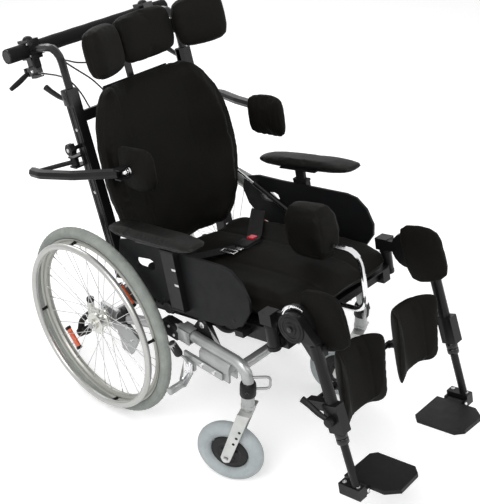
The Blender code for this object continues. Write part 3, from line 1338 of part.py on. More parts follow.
def footplate(side, word, hinge):
    """Flat plate with cut corners and the eye that folds on the hinge pin."""
    inner, outer = -PLATE_X[1], -PLATE_X[0]
    front, rear = PLATE_Y
    outline = [
        (outer, rear), (outer, front + 0.035), (outer - 0.028, front), (inner + 0.020, front + 0.004),
        (inner, front + 0.026), (inner, rear - 0.016), (inner + 0.016, rear),
    ]
    board = plate([(side * x, y) for x, y in outline], 2 * PLATE_HALF_THICK, upright=False)
    half = PLATE_HALF_THICK - 0.0004
    tongue = block(side, (-0.030, -0.001), (-0.0255, 0.0255), (-half, half))
    ring = turned(((0, 0.0253), (0.0080, 0.0253), (0.0080, -0.0253), (0, -0.0253)), 10, (0, 0, 0), "Y")
    bore = rod((0, -0.05, 0), (0, 0.05, 0), FOOT_HINGE_PIN + 0.0005, sides=8, flats=True)
    part(f"footplate_{word}", cut(union(board, tongue, ring), bore), hinge, "black_plastic")


def calf_pad(side, word, pivot):
    """Trough-shaped pad: a panel behind the calf with wings that come forward on both sides."""
    y0, z0 = CALF_ROD
    centre = sum(CALF_X) / 2 - KNEE[0]
    half = (CALF_X[1] - CALF_X[0]) / 2

    def shape(across, along, face):
        z = (CALF_TOP + CALF_BOTTOM) / 2 + along * (CALF_TOP - CALF_BOTTOM) / 2
        if along < 0:
            z += 0.018 * (1 - across ** 2)
        lean = -0.018 * (z - CALF_BOTTOM) / (CALF_TOP - CALF_BOTTOM) / 0.9
        wing = max(0.0, (abs(across) - 0.5) / 0.5)
        reach = 0.050 + 0.040 * (z - CALF_BOTTOM) / (CALF_TOP - CALF_BOTTOM)
        if face:
            return side * (centre + across * half * 0.80), -0.016 + lean - wing * (reach - 0.022), z - z0
        return side * (centre + across * half), 0.012 + lean - wing * reach * 0.95, z - z0

    pad = soft(4, 3, lambda a, b, f: Vector(shape(a, b, f)) - Vector((0, y0, 0)), 1)
    lugs = []
    for x in (centre - 0.040, centre + 0.040):
        lugs.append(block(side, (x - 0.006, x + 0.006), (-0.040, 0.002), (-0.0075, 0.0075)))
        profile = ((0, 0.006), (0.0102, 0.006), (0.0102, -0.006), (0, -0.006))
        lugs.append(turned(profile, 8, (side * x, 0, 0), "X"))
    bore = rod((-0.25, 0, 0), (0.25, 0, 0), CALF_ROD_RADIUS + 0.0005, flats=True)
    part(f"calf_pad_{word}", cut(union(pad, *lugs), bore), pivot, "fabric")


def knee_pad(side, word, leg):
    """Pad inside the knee hinge."""
    def shape(across, along, face):
        y = sum(KNEE_PAD_Y) / 2 + across * (KNEE_PAD_Y[1] - KNEE_PAD_Y[0]) / 2
        z = along * KNEE_PAD_Z[1] * (1 - 0.22 * max(0.0, -across) ** 2)
        x = KNEE_PAD_X[1] if not face else KNEE_PAD_X[0]
        return side * (x - KNEE[0]), y, z

    x = sorted(side * (value - KNEE[0]) for value in KNEE_PAD_X)
    low = (x[0], KNEE_PAD_Y[0], KNEE_PAD_Z[0])
    high = (x[1], KNEE_PAD_Y[1], KNEE_PAD_Z[1])
    part(f"knee_pad_{word}", soft(2, 2, shape, 1, low, high), leg, "fabric")


# Assembly

def wheels(chair):
    for side, word in SIDES:
        rear_wheel(side, word, frame(f"wheel_{word}", chair, (side * WHEEL_X, 0, WHEEL_RADIUS)))
        place = (side * RAIL_X, CASTOR_Y, CASTOR_RADIUS)
        swivel = frame(f"castor_swivel_{word}", chair, place, turn=CASTOR_TURN)
        castor_fork(word, swivel)
        castor_wheel(word, frame(f"castor_spin_{word}", swivel, (0, CASTOR_TRAIL, 0)))


def legrests(seat):
    for side, word in SIDES:
        swing = frame(f"legrest_swing_{word}", seat, (side * SWING_AXIS[0], SWING_AXIS[1], 0))
        legrest_hanger(side, word, swing)
        place = (side * (KNEE[0] - SWING_AXIS[0]), KNEE[1] - SWING_AXIS[1], KNEE[2])
        leg = frame(f"leg_{word}", swing, place, tilt=-LEG_ANGLE)
        leg_tube(side, word, leg)
        knee_pad(side, word, leg)
        foot = frame(f"foot_{word}", leg, (0, 0, 0))
        foot_tube(side, word, foot)
        x, y, z = FOOT_HINGE
        hinge = frame(f"footplate_hinge_{word}", foot, (side * (x - KNEE[0]), y, z), tilt=LEG_ANGLE)
        footplate(side, word, hinge)
        calf_pad(side, word, frame(f"calf_pivot_{word}", leg, (0, *CALF_ROD)))


def armrests(seat):
    for side, word in SIDES:
        side_panel(side, word, seat)
        armrest_post(side, word, seat)
        armrest_pad(side, word, frame(f"armrest_slide_{word}", seat, (0, 0, 0)))


def back_fittings(back):
    bar = frame("push_bar_slide", back, (0, 0, 0))
    push_bar(bar)
    head = frame("headrest_slide", back, (0, 0, 0))
    headrest(head)
    cables(back)
    for side, word in SIDES:
        x, u, w = LEVER_PIVOT
        hand_lever(side, word, frame(f"lever_pivot_{word}", bar, (side * x, u, w)))
        x, u = WING_HINGE
        place = (side * x, u, sum(HEAD_BAR_W) / 2)
        hinge = frame(f"wing_hinge_{word}", head, place, turn=-side * WING_ANGLES[word])
        headrest_wing(side, word, hinge)
        x, u = LATERAL_PIVOT
        pivot = frame(f"lateral_swing_{word}", back, (side * x, u, LATERAL_W[word]), tilt=LATERAL_SLOPE)
        lateral_arm(side, word, pivot)
        end_x, end_u = LATERAL_ENDS[word]
        end = (side * (end_x - x), end_u - u, 0)
        lateral_pad(side, word, frame(f"lateral_pad_pivot_{word}", pivot, end))


def tilt_spring(chair):
    lug = turn_about_x(TILT_SPRING_LUG, -SEAT_TILT)
    far = (SEAT_PIVOT[0] + lug[0], SEAT_PIVOT[1] + lug[1])
    tilt, length = aim(TILT_SPRING_FIXED, far)
    pivot = frame("tilt_spring_pivot", chair, (0, *TILT_SPRING_FIXED), tilt=tilt)
    spring_cylinder("tilt_spring_cylinder", pivot, 0.0, TILT_SPRING_RADIUS, TILT_SPRING_BODY)
    spring_rod("tilt_spring_rod", frame("tilt_spring_slide", pivot, (0, 0, 0)), 0.0, length)


def recline_spring(seat):
    up = turn_about_x((0.0, RECLINE_SPRING_W), -BACK_ANGLE)
    far = (BACK_PIVOT[0] + up[0], BACK_PIVOT[1] + up[1])
    tilt, length = aim(RECLINE_SPRING_FIXED, far)
    pivot = frame("recline_spring_pivot", seat, (RECLINE_SPRING_X, *RECLINE_SPRING_FIXED), tilt=tilt)
    spring_cylinder("recline_spring_cylinder", pivot, 0.0, RECLINE_SPRING_RADIUS, RECLINE_SPRING_BODY)
    spring_rod("recline_spring_rod", frame("recline_spring_slide", pivot, (0, 0, 0)), 0.0, length)


def build():
    chair = frame("chair", None, (0, AXLE_Y, 0))
    base_frame(chair)
    wheels(chair)
    for side, word in SIDES:
        place = (side * (BRAKE_BAR_X[1] + GAP), *BRAKE_PIVOT)
        parking_brake(side, word, frame(f"brake_pivot_{word}", chair, place))
    seat = frame("seat_tilt", chair, (0, *SEAT_PIVOT), tilt=-SEAT_TILT)
    seat_frame(seat)
    seat_cushion(seat)
    armrests(seat)
    lap_belt(seat)
    belt_button(frame("belt_button_slide", seat, (0, 0, 0)))
    pommel(frame("pommel_slide", seat, (0, 0, 0)))
    legrests(seat)
    back = frame("back_recline", seat, (0, *BACK_PIVOT), tilt=-BACK_ANGLE)
    back_frame(back)
    back_shell(back)
    back_cushion(back)
    back_fittings(back)
    tilt_spring(chair)
    recline_spring(seat)


clear_scene()
PARTS = new_collection(COLLECTION)
WORK = new_collection("work")
build()
bpy.context.view_layer.update()
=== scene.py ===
"""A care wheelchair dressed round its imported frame: fabrics, wheels, fittings, light and camera."""

import math

import bmesh
import bpy
import numpy as np
from mathutils import Matrix, Vector


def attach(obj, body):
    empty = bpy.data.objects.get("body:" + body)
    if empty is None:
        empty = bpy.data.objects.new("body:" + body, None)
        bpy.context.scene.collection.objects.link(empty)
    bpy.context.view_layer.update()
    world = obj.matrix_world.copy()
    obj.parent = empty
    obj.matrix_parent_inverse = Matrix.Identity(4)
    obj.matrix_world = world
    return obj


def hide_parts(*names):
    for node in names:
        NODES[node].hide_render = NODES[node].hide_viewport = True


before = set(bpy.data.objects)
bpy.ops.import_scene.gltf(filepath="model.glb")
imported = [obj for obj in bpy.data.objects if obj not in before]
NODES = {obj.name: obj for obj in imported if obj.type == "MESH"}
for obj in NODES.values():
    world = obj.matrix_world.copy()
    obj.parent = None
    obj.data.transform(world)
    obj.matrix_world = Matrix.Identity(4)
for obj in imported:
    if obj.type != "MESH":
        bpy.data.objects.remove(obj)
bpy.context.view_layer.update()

SIDES = ((-1, "right"), (1, "left"))
AXLE_Y = 0.354
WHEEL_X = 0.292
WHEEL_RADIUS = 0.305
CASTOR_RADIUS = 0.101
CASTOR_Y = -0.218
CASTOR_TRAIL = 0.052
CASTOR_TURN = 22.0
SEAT_PIVOT = (0.0, -0.036, 0.460)
SEAT_TILT = 13.0
BACK_PIVOT = (0.0, 0.345, 0.090)
BACK_ANGLE = 5.0
SWING_AXIS = (0.245, -0.275)
KNEE = (0.250, -0.363, 0.089)
LEG_ANGLE = 9.5
LEG_FORWARD = 0.055
CLAMP_Z = -0.246
SWIVEL_X = 0.252
STEM_HEIGHT = 0.150
FORK_FACE = 0.0385
BAR_PLACE = (0.0, 0.140, 0.672)
BAR_TUBE_X = 0.2185
GRIP_RADIUS = 0.0211
GRIP_HALF = 0.199
GRIP_END_X = (0.2375, 0.3003)
HEAD_HINGE = (0.112, -0.068, 0.640)
HEAD_TURNS = {"right": 25.0, "left": 35.0}
LATERAL_PIVOT = (0.252, 0.030)
LATERAL_ENDS = {"right": (0.249, -0.190), "left": (0.275, -0.262)}
LATERAL_HEIGHTS = {"right": 0.350, "left": 0.362}
LATERAL_TILT = 7.0
STAR_KNOB_LIFT = 0.042
CALF_Z = (-0.100, -0.330)
CALF_ROD = (0.016, -0.215)
FOOT_HINGE = (0.228, -0.038, -0.464)
BRAKE_PIVOT = (0.2785, -0.371, 0.335)
POST_X = (0.2640, 0.2856)
POST_Y = 0.037
PANEL_FACE = 0.2640
CUSHION_FLANK = 0.2222


def local(parent, place, tilt=0.0, turn=0.0):
    """A frame placed in its parent, tilted about X and turned about Z."""
    spin = Matrix.Rotation(math.radians(turn), 4, "Z") @ Matrix.Rotation(math.radians(tilt), 4, "X")
    return parent @ Matrix.Translation(Vector(place)) @ spin


SEAT = local(Matrix(), SEAT_PIVOT, tilt=-SEAT_TILT)
BACK = local(SEAT, BACK_PIVOT, tilt=-BACK_ANGLE)
LEG = {word: local(SEAT, (side * KNEE[0], KNEE[1], KNEE[2]), tilt=-LEG_ANGLE) for side, word in SIDES}
WHEEL = {word: Matrix.Translation((side * WHEEL_X, AXLE_Y, WHEEL_RADIUS)) for side, word in SIDES}
SWIVEL = {
    word: local(Matrix(), (side * SWIVEL_X, CASTOR_Y, CASTOR_RADIUS), turn=CASTOR_TURN)
    for side, word in SIDES
}
CASTOR = {word: local(SWIVEL[word], (0.0, CASTOR_TRAIL, 0.0)) for word in SWIVEL}


# Materials

COLOUR_DRIFT = 0.12
COAT_ROUGHNESS = 0.12
SHEEN_ROUGHNESS = 0.45


def node_group(material):
    """The nodes and links of a material."""
    material.use_nodes = True
    return material.node_tree.nodes, material.node_tree.links


def principled(name, color, roughness, metallic=0.0, coat=0.0, sheen=0.0, specular=0.5):
    material = bpy.data.materials.new(name)
    nodes, _ = node_group(material)
    shader = nodes["Principled BSDF"]
    values = {
        "Base Color": (*color, 1.0), "Roughness": roughness, "Metallic": metallic,
        "Coat Weight": coat, "Coat Roughness": COAT_ROUGHNESS,
        "Sheen Weight": sheen, "Sheen Roughness": SHEEN_ROUGHNESS, "Specular IOR Level": specular,
    }
    for key, value in values.items():
        shader.inputs[key].default_value = value
    return material


def coordinates(material, stretch=(1.0, 1.0, 1.0)):
    """Object coordinates, in metres, stretched for the pattern."""
    nodes, links = node_group(material)
    coordinate = nodes.new("ShaderNodeTexCoord")
    mapping = nodes.new("ShaderNodeMapping")
    mapping.inputs["Scale"].default_value = stretch
    links.new(coordinate.outputs["Object"], mapping.inputs["Vector"])
    return mapping.outputs["Vector"]


def texture(material, kind, vector, **inputs):
    """A texture node fed with the vector, its other inputs set by name."""
    nodes, links = node_group(material)
    node = nodes.new(f"ShaderNodeTex{kind}")
    links.new(vector, node.inputs["Vector"])
    for name, value in inputs.items():
        node.inputs[name].default_value = value
    return node


def noise(material, vector, scale, detail, rough=0.5):
    """Soft cloudy noise from 0 to 1."""
    return texture(material, "Noise", vector, Scale=scale, Detail=detail, Roughness=rough).outputs["Fac"]


def cells(material, vector, scale, feature="F1"):
    """Distances in a pattern of cells."""
    node = texture(material, "Voronoi", vector, Scale=scale)
    node.feature = feature
    return node.outputs["Distance"]


def wave(material, vector, scale, direction, distortion):
    """Bands along a direction."""
    node = texture(material, "Wave", vector, Scale=scale, Distortion=distortion, Detail=1.0)
    node.bands_direction = direction
    return node.outputs["Fac"]


def ramp(material, value, low, high, dark, light):
    """Maps a value from low..high to two greys or colours."""
    nodes, links = node_group(material)
    stops = nodes.new("ShaderNodeValToRGB")
    for stop, place, color in zip(stops.color_ramp.elements, (low, high), (dark, light)):
        stop.position = place
        stop.color = (*color, 1.0)
    links.new(value, stops.inputs["Fac"])
    return stops.outputs["Color"]


def bump(material, heights):
    """Chains bumps, each given as (height, strength, distance)."""
    nodes, links = node_group(material)
    before = None
    for height, strength, distance in heights:
        node = nodes.new("ShaderNodeBump")
        node.inputs["Strength"].default_value = strength
        node.inputs["Distance"].default_value = distance
        links.new(height, node.inputs["Height"])
        if before is not None:
            links.new(before, node.inputs["Normal"])
        before = node.outputs["Normal"]
    links.new(before, nodes["Principled BSDF"].inputs["Normal"])


def paint(material, value, low, high, dark, light):
    """Colours a material between two colours by a value."""
    nodes, links = node_group(material)
    links.new(ramp(material, value, low, high, dark, light), nodes["Principled BSDF"].inputs["Base Color"])


def vary_roughness(material, value, low, high):
    """Varies the roughness by a noise that stays near 0.5."""
    nodes, links = node_group(material)
    span = nodes.new("ShaderNodeMapRange")
    for name, limit in (("From Min", 0.3), ("From Max", 0.7), ("To Min", low), ("To Max", high)):
        span.inputs[name].default_value = limit
    links.new(value, span.inputs["Value"])
    links.new(span.outputs["Result"], nodes["Principled BSDF"].inputs["Roughness"])


def grey(level, warm=0.0):
    """A grey, tinted towards warm or cool."""
    return (level * (1 + warm), level * (1 + warm * 0.3), level * (1 - warm))


def coated_fabric():
    """Black stretch fabric with a fine knit, soft creases and a faint sheen."""
    material = principled("coated_fabric", grey(0.004, 0.10), 0.66, sheen=0.012, specular=0.075)
    vector = coordinates(material)
    broad = noise(material, vector, 9.0, 4.0)
    paint(material, broad, 0.35, 0.70, grey(0.0028, 0.14), grey(0.0058, 0.14))
    knit = wave(material, vector, 420.0, "DIAGONAL", 1.5)
    fine = noise(material, vector, 900.0, 2.0)
    creases = noise(material, coordinates(material, (1.0, 1.0, 0.45)), 26.0, 3.0, 0.45)
    vary_roughness(material, broad, 0.55, 0.70)
    bump(material, ((creases, 0.35, 0.0035), (knit, 0.20, 0.0004), (fine, 0.25, 0.0003)))
    return material


def grained_skin():
    """Black grained artificial leather."""
    material = principled("grained_skin", grey(0.006, 0.05), 0.50, coat=0.0, specular=0.14)
    vector = coordinates(material)
    broad = noise(material, vector, 14.0, 4.0)
    paint(material, broad, 0.35, 0.70, grey(0.0045, 0.05), grey(0.009, 0.05))
    grain = cells(material, vector, 620.0, "DISTANCE_TO_EDGE")
    vary_roughness(material, broad, 0.40, 0.52)
    bump(material, ((noise(material, vector, 30.0, 2.0), 0.25, 0.002), (grain, 0.35, 0.0006)))
    return material


def moulded(name, level, roughness, warm=0.0, specular=0.5):
    """Moulded plastic with a spark-eroded grain."""
    material = principled(name, grey(level, warm), roughness, specular=specular)
    vector = coordinates(material)
    broad = noise(material, vector, 7.0, 3.0)
    paint(material, broad, 0.35, 0.70, grey(level * 0.82, warm), grey(level * 1.20, warm))
    grain = cells(material, vector, 900.0)
    vary_roughness(material, noise(material, vector, 40.0, 3.0), roughness - 0.05, roughness + 0.08)
    bump(material, ((grain, 0.18, 0.0004),))
    return material


def coated_metal(name, color, roughness, metallic, coat=0.12, specular=0.5):
    """Powder coat: a fine orange peel, a little colour drift and rubbed highlights."""
    material = principled(name, color, roughness, metallic, coat=coat, specular=specular)
    vector = coordinates(material)
    drift = noise(material, vector, 12.0, 4.0)
    dark = tuple(c * (1 - COLOUR_DRIFT) for c in color)
    light = tuple(min(1.0, c * (1 + COLOUR_DRIFT)) for c in color)
    paint(material, drift, 0.35, 0.68, dark, light)
    vary_roughness(material, noise(material, vector, 60.0, 3.0), roughness - 0.05, roughness + 0.07)
    bump(material, ((noise(material, vector, 420.0, 2.0), 0.08, 0.0005),))
    return material


def polished(name, color, roughness):
    material = principled(name, color, roughness, 1.0)
    vector = coordinates(material)
    paint(material, noise(material, vector, 18.0, 3.0), 0.35, 0.70, tuple(c * 0.90 for c in color), color)
    vary_roughness(material, noise(material, vector, 55.0, 4.0), roughness * 0.7, roughness * 1.6)
    bump(material, ((noise(material, vector, 160.0, 2.0), 0.03, 0.0004),))
    return material


def brushed(name, color, roughness):
    material = principled(name, color, roughness, 1.0)
    lines = noise(material, coordinates(material, (1.0, 1.0, 24.0)), 60.0, 3.0)
    paint(material, lines, 0.30, 0.72, tuple(c * 0.85 for c in color), color)
    vary_roughness(material, lines, roughness - 0.06, roughness + 0.08)
    bump(material, ((lines, 0.10, 0.0003),))
    return material


def rubber(name, dark, light, roughness):
    """Grey rubber with mottled dust from the floor."""
    material = principled(name, light, roughness, specular=0.35)
    vector = coordinates(material)
    dust = noise(material, vector, 24.0, 5.0, 0.6)
    paint(material, dust, 0.35, 0.72, dark, light)
    vary_roughness(material, dust, roughness - 0.08, min(1.0, roughness + 0.08))
    bump(material, ((noise(material, vector, 700.0, 2.0), 0.20, 0.0004),))
    return material


def webbing():
    """Woven strap: warp ribs along it and a fine weft across."""
    material = principled("webbing", grey(0.006), 0.68, sheen=0.02, specular=0.12)
    vector = coordinates(material)
    ribs = wave(material, vector, 210.0, "X", 0.4)
    weft = wave(material, vector, 330.0, "Y", 0.4)
    paint(material, ribs, 0.2, 0.8, grey(0.005), grey(0.012))
    bump(material, ((ribs, 0.5, 0.0006), (weft, 0.35, 0.0004)))
    return material


def foam_grip():
    """Closed-cell foam with visible pores."""
    material = principled("foam_grip", grey(0.005), 0.72, specular=0.10)
    vector = coordinates(material)
    pores = cells(material, vector, 520.0)
    paint(material, pores, 0.0, 0.5, grey(0.004), grey(0.010))
    bump(material, ((pores, 0.5, 0.0008),))
    return material


def reflector():
    """Orange prismatic lens."""
    material = principled("reflector", (0.78, 0.10, 0.012), 0.16, coat=0.5)
    vector = coordinates(material)
    prisms = cells(material, vector, 260.0)
    paint(material, prisms, 0.05, 0.60, (0.92, 0.20, 0.03), (0.60, 0.055, 0.008))
    bump(material, ((prisms, 0.7, 0.0012),))
    return material


def gloss(name, color):
    material = principled(name, color, 0.25, coat=0.3)
    vector = coordinates(material)
    paint(material, noise(material, vector, 50.0, 2.0), 0.3, 0.7, tuple(c * 0.85 for c in color), color)
    bump(material, ((noise(material, vector, 300.0, 2.0), 0.05, 0.0003),))
    return material


FABRIC = coated_fabric()
SKIN = grained_skin()
BLACK_METAL = coated_metal("black_metal", grey(0.006), 0.34, 0.0, coat=0.02, specular=0.20)
GLOSS_BLACK = coated_metal("gloss_black", grey(0.006), 0.20, 0.0, coat=0.06, specular=0.36)
SILVER = coated_metal("silver_coat", (0.365, 0.37, 0.370), 0.36, 0.65)
FORK_SILVER = coated_metal("fork_coat", (0.55, 0.56, 0.54), 0.38, 0.55)
PUSHRIM_METAL = brushed("pushrim_metal", (0.50, 0.50, 0.485), 0.36)
RIM_METAL = brushed("rim_metal", (0.40, 0.40, 0.37), 0.44)
HUB_METAL = brushed("hub_metal", (0.66, 0.66, 0.62), 0.34)
CHROME = polished("chrome", (0.80, 0.80, 0.81), 0.10)
STEEL = polished("zinc_steel", (0.62, 0.62, 0.62), 0.26)
BLACK_PLASTIC = moulded("black_plastic", 0.0055, 0.46, 0.0, 0.20)
HUB_PLASTIC = moulded("hub_plastic", 0.010, 0.45, 0.0, 0.25)
PANEL_PLASTIC = moulded("panel_plastic", 0.0080, 0.46, -0.07, 0.12)
GREY_TYRE = rubber("grey_tyre", (0.225, 0.245, 0.228), (0.325, 0.345, 0.32), 0.72)
CASTOR_RUBBER = rubber("castor_rubber", (0.34, 0.375, 0.385), (0.44, 0.475, 0.48), 0.70)
BLACK_RUBBER = rubber("black_rubber", grey(0.006), grey(0.012), 0.66)
WEBBING = webbing()
FOAM = foam_grip()
REFLECTOR = reflector()
BUTTON_RED = gloss("button_red", (0.62, 0.012, 0.035))
SLEEVE = moulded("cable_sleeve", 0.012, 0.36)


# Carried nodes keep their meshes; corner normals round their tubes off

ROUND_DEGREES = 40.0


def round_normals(obj):
    """Corner normals averaged over neighbouring faces that meet at less than an angle."""
    mesh = obj.data
    limit = math.cos(math.radians(ROUND_DEGREES))
    mesh.polygons.foreach_set("use_smooth", [True] * len(mesh.polygons))
    points = [tuple(round(c, 5) for c in vertex.co) for vertex in mesh.vertices]
    around = {}
    for face in mesh.polygons:
        for index in face.vertices:
            around.setdefault(points[index], []).append((face.normal.copy(), face.area))
    normals = []
    for face in mesh.polygons:
        for index in face.vertices:
            total = Vector()
            for normal, area in around[points[index]]:
                if normal.dot(face.normal) > limit:
                    total += normal * area
            normals.append(total.normalized() if total.length > 0 else face.normal.copy())
    mesh.normals_split_custom_set(normals)


def dress(material, *names):
    """Gives carried nodes their material and round normals."""
    for name in names:
        node = NODES[name]
        node.data.materials.clear()
        node.data.materials.append(material)
        round_normals(node)


def pair(*names):
    """The names of both sides' nodes."""
    return [f"{name}_{word}" for name in names for _, word in SIDES]


def blacken(name, low, high):
    """Gives the faces inside a box, mirrored to both sides, the black metal."""
    mesh = NODES[name].data
    mesh.materials.append(BLACK_METAL)
    for face in mesh.polygons:
        spot = NODES[name].matrix_world @ face.center
        if all(a <= v <= b for a, v, b in zip(low, (abs(spot.x), spot.y, spot.z), high)):
            face.material_index = len(mesh.materials) - 1


dress(FORK_SILVER, *pair("castor_fork"))
dress(SILVER, "base_frame", *pair("parking_brake"))
blacken("base_frame", (0.200, -0.085, 0.437), (0.300, 0.040, 0.520))
dress(BLACK_METAL, "seat_frame", "back_frame", "headrest_stem",
      *pair("armrest_post", "lateral_arm", "legrest_hanger", "leg_tube", "foot_tube"))
dress(GLOSS_BLACK, "push_bar_tube", "tilt_spring_cylinder", "recline_spring_cylinder")
dress(CHROME, "pommel_bar", "tilt_spring_rod", "recline_spring_rod")
dress(BLACK_PLASTIC, "back_shell", *pair("hand_lever", "footplate"))
dress(FOAM, "push_bar_grip")
dress(PANEL_PLASTIC, *pair("side_panel"))
dress(BUTTON_RED, "belt_button")
dress(SLEEVE, "tilt_cable", "recline_cable")


# Mesh helpers

def finish_mesh(name, bm, material, body, degrees=38.0):
    """Turns a bmesh into a smooth-shaded piece that rides on a body."""
    bmesh.ops.recalc_face_normals(bm, faces=bm.faces[:])
    mesh = bpy.data.meshes.new(name)
    bm.to_mesh(mesh)
    bm.free()
    mesh.materials.append(material)
    mesh.shade_smooth()
    mesh.set_sharp_from_angle(angle=math.radians(degrees))
    obj = bpy.data.objects.new(name, mesh)
    bpy.context.scene.collection.objects.link(obj)
    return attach(obj, body)


def grid_faces(bm, rows, closed_rows, closed_columns):
    """Quads between rows of vertices, closed round either way where asked."""
    count = len(rows)
    width = len(rows[0])
    for i in range(count if closed_rows else count - 1):
        for j in range(width if closed_columns else width - 1):
            a, b = rows[i], rows[(i + 1) % count]
            bm.faces.new((a[j], a[(j + 1) % width], b[(j + 1) % width], b[j]))


def lathe(bm, profile, segments, matrix, closed=False, axis="X"):
    """Turns (radius, along) pairs round an axis; ends at radius 0 become points."""
    rows = []
    for radius, along in profile:
        row = []
        for k in range(segments):
            angle = 2 * math.pi * k / segments
            a, b = radius * math.cos(angle), radius * math.sin(angle)
            spot = {"X": (along, a, b), "Y": (a, along, b), "Z": (a, b, along)}[axis]
            row.append(bm.verts.new(spot))
        rows.append(row)
    grid_faces(bm, rows, closed, True)
    if not closed:
        for row in (rows[0], rows[-1]):
            bm.faces.new(row)
    bmesh.ops.transform(bm, matrix=matrix, verts=[v for row in rows for v in row])


def frames_along(points):
    """Tangent and two normals at each point, carried along without twist."""
    points = [Vector(p) for p in points]
    tangents = []
    for i, point in enumerate(points):
        before = points[max(0, i - 1)]
        after = points[min(len(points) - 1, i + 1)]
        tangents.append((after - before).normalized())
    side = tangents[0].orthogonal().normalized()
    result = []
    for point, tangent in zip(points, tangents):
        side = (side - tangent * side.dot(tangent)).normalized()
        result.append((point, tangent, side, tangent.cross(side)))
    return result


def sweep(bm, points, radius, sides, closed=False, squash=1.0):
    """A round or oval tube along points, capped at its ends."""
    points = [Vector(p) for p in points]
    loop = points + points[:2] if closed else points
    stations = frames_along(loop)
    if closed:
        stations = stations[1:-1]
    rows = []
    for k, (point, _, u, v) in enumerate(stations):
        r = radius(k / max(1, len(stations) - 1)) if callable(radius) else radius
        rows.append([
            bm.verts.new(point + (u * math.cos(t) + v * math.sin(t) * squash) * r)
            for t in (2 * math.pi * s / sides for s in range(sides))
        ])
    grid_faces(bm, rows, closed, True)
    if not closed:
        bm.faces.new(rows[0])
        bm.faces.new(rows[-1])


def curve_through(spots, steps):
    """A smooth path through spots."""
    spots = [Vector(s) for s in spots]
    ends = [spots[0] * 2 - spots[1]] + spots + [spots[-1] * 2 - spots[-2]]
    path = [spots[0]]
    for a, b, c, d in zip(ends, ends[1:], ends[2:], ends[3:]):
        for k in range(1, steps + 1):
            t = k / steps
            path.append(0.5 * (2 * b + (c - a) * t + (2 * a - 5 * b + 4 * c - d) * t ** 2
                               + (3 * b - a - 3 * c + d) * t ** 3))
    return path


def bevelled(bm, width):
    """Rounds the edges that are sharper than 30 degrees."""
    bmesh.ops.recalc_face_normals(bm, faces=bm.faces[:])
    sharp = [e for e in bm.edges if len(e.link_faces) == 2 and e.calc_face_angle() > math.radians(30.0)]
    bmesh.ops.bevel(bm, geom=sharp, offset=width, segments=2, affect="EDGES", profile=0.5,
                    clamp_overlap=True)


def block(bm, low, high, matrix, soft):
    """A box with rounded edges."""
    work = bmesh.new()
    bmesh.ops.create_cube(work, size=1.0)
    low, high = Vector(low), Vector(high)
    middle, size = (low + high) / 2, high - low
    for vertex in work.verts:
        vertex.co = Vector(middle[k] + vertex.co[k] * abs(size[k]) for k in range(3))
    bevelled(work, soft)
    merge(bm, work, matrix)


def slab(bm, outline, low, high, axis, matrix, soft):
    """An outline pushed from low to high along an axis, with rounded edges."""
    work = bmesh.new()

    def spot(a, b, along):
        return {"X": (along, a, b), "Y": (a, along, b), "Z": (a, b, along)}[axis]

    bottom = [work.verts.new(spot(a, b, low)) for a, b in outline]
    top = [work.verts.new(spot(a, b, high)) for a, b in outline]
    work.faces.new(bottom)
    work.faces.new(top)
    for i in range(len(outline)):
        j = (i + 1) % len(outline)
        work.faces.new((bottom[i], bottom[j], top[j], top[i]))
    bevelled(work, soft)
    merge(bm, work, matrix)


def merge(bm, work, matrix):
    """Adds one bmesh to another."""
    if matrix is not None:
        work.transform(matrix)
    mesh = bpy.data.meshes.new("merge")
    work.to_mesh(mesh)
    work.free()
    bm.from_mesh(mesh)
    bpy.data.meshes.remove(mesh)


def screw(bm, place, direction, radius, height, style="socket"):
    """A screw head: socket cap, hex or dome, looking along its direction."""
    direction = Vector(direction).normalized()
    turn = Vector((0, 0, 1)).rotation_difference(direction).to_matrix().to_4x4()
    matrix = Matrix.Translation(Vector(place)) @ turn
    if style == "hex":
        profile = ((radius, -0.001), (radius, height * 0.85), (radius * 0.86, height),
                   (radius * 0.3, height))
        lathe(bm, profile, 6, matrix, axis="Z")
        return
    if style == "dome":
        profile = [(radius, -0.001)]
        profile += [(radius * math.cos(t), height * math.sin(t)) for t in (0.0, 0.4, 0.8, 1.15, 1.4)]
        lathe(bm, profile, 16, matrix, axis="Z")
        return
    profile = (
        (radius, -0.001), (radius, height * 0.8), (radius * 0.85, height), (radius * 0.52, height),
        (radius * 0.50, height * 0.35), (radius * 0.1, height * 0.30),
    )
    lathe(bm, profile, 18, matrix, axis="Z")


def screws(bm, matrix, way, spots, *sizes):
    """Equal screws at spots of a frame, all looking one way of it."""
    for spot in spots:
        screw(bm, matrix @ Vector(spot), matrix.to_3x3() @ Vector(way), *sizes)


def turned(name, profile, segments, place, material, body, degrees=45, **lathing):
    """A piece that is one lathed profile."""
    bm = bmesh.new()
    lathe(bm, profile, segments, place, **lathing)
    return finish_mesh(name, bm, material, body, degrees=degrees)


def side_blocks(bm, side, boxes, matrix, soft):
    """Boxes given by two corners for the left side, mirrored for the right."""
    for low, high in boxes:
        block(bm, (side * low[0], *low[1:]), (side * high[0], *high[1:]), matrix, soft)


def side_path(bm, matrix, side, spots, steps, radius, sides, squash):
    """A smooth tube through spots given for the left side, mirrored for the right."""
    path = curve_through([(side * x, y, z) for x, y, z in spots], steps)
    sweep(bm, [matrix @ p for p in path], radius, sides, squash=squash)


def circle(count, radius, shift=0.0, start=0.0):
    """Even points round a circle, as (cosine, sine) pairs."""
    angles = [2 * math.pi * (k + shift) / count + start for k in range(count)]
    return [(radius * math.cos(angle), radius * math.sin(angle)) for angle in angles]


def mirrored(side, profile):
    """A profile along X, turned over for the right side."""
    return [(radius, side * x) for radius, x in profile]


# Padded goods

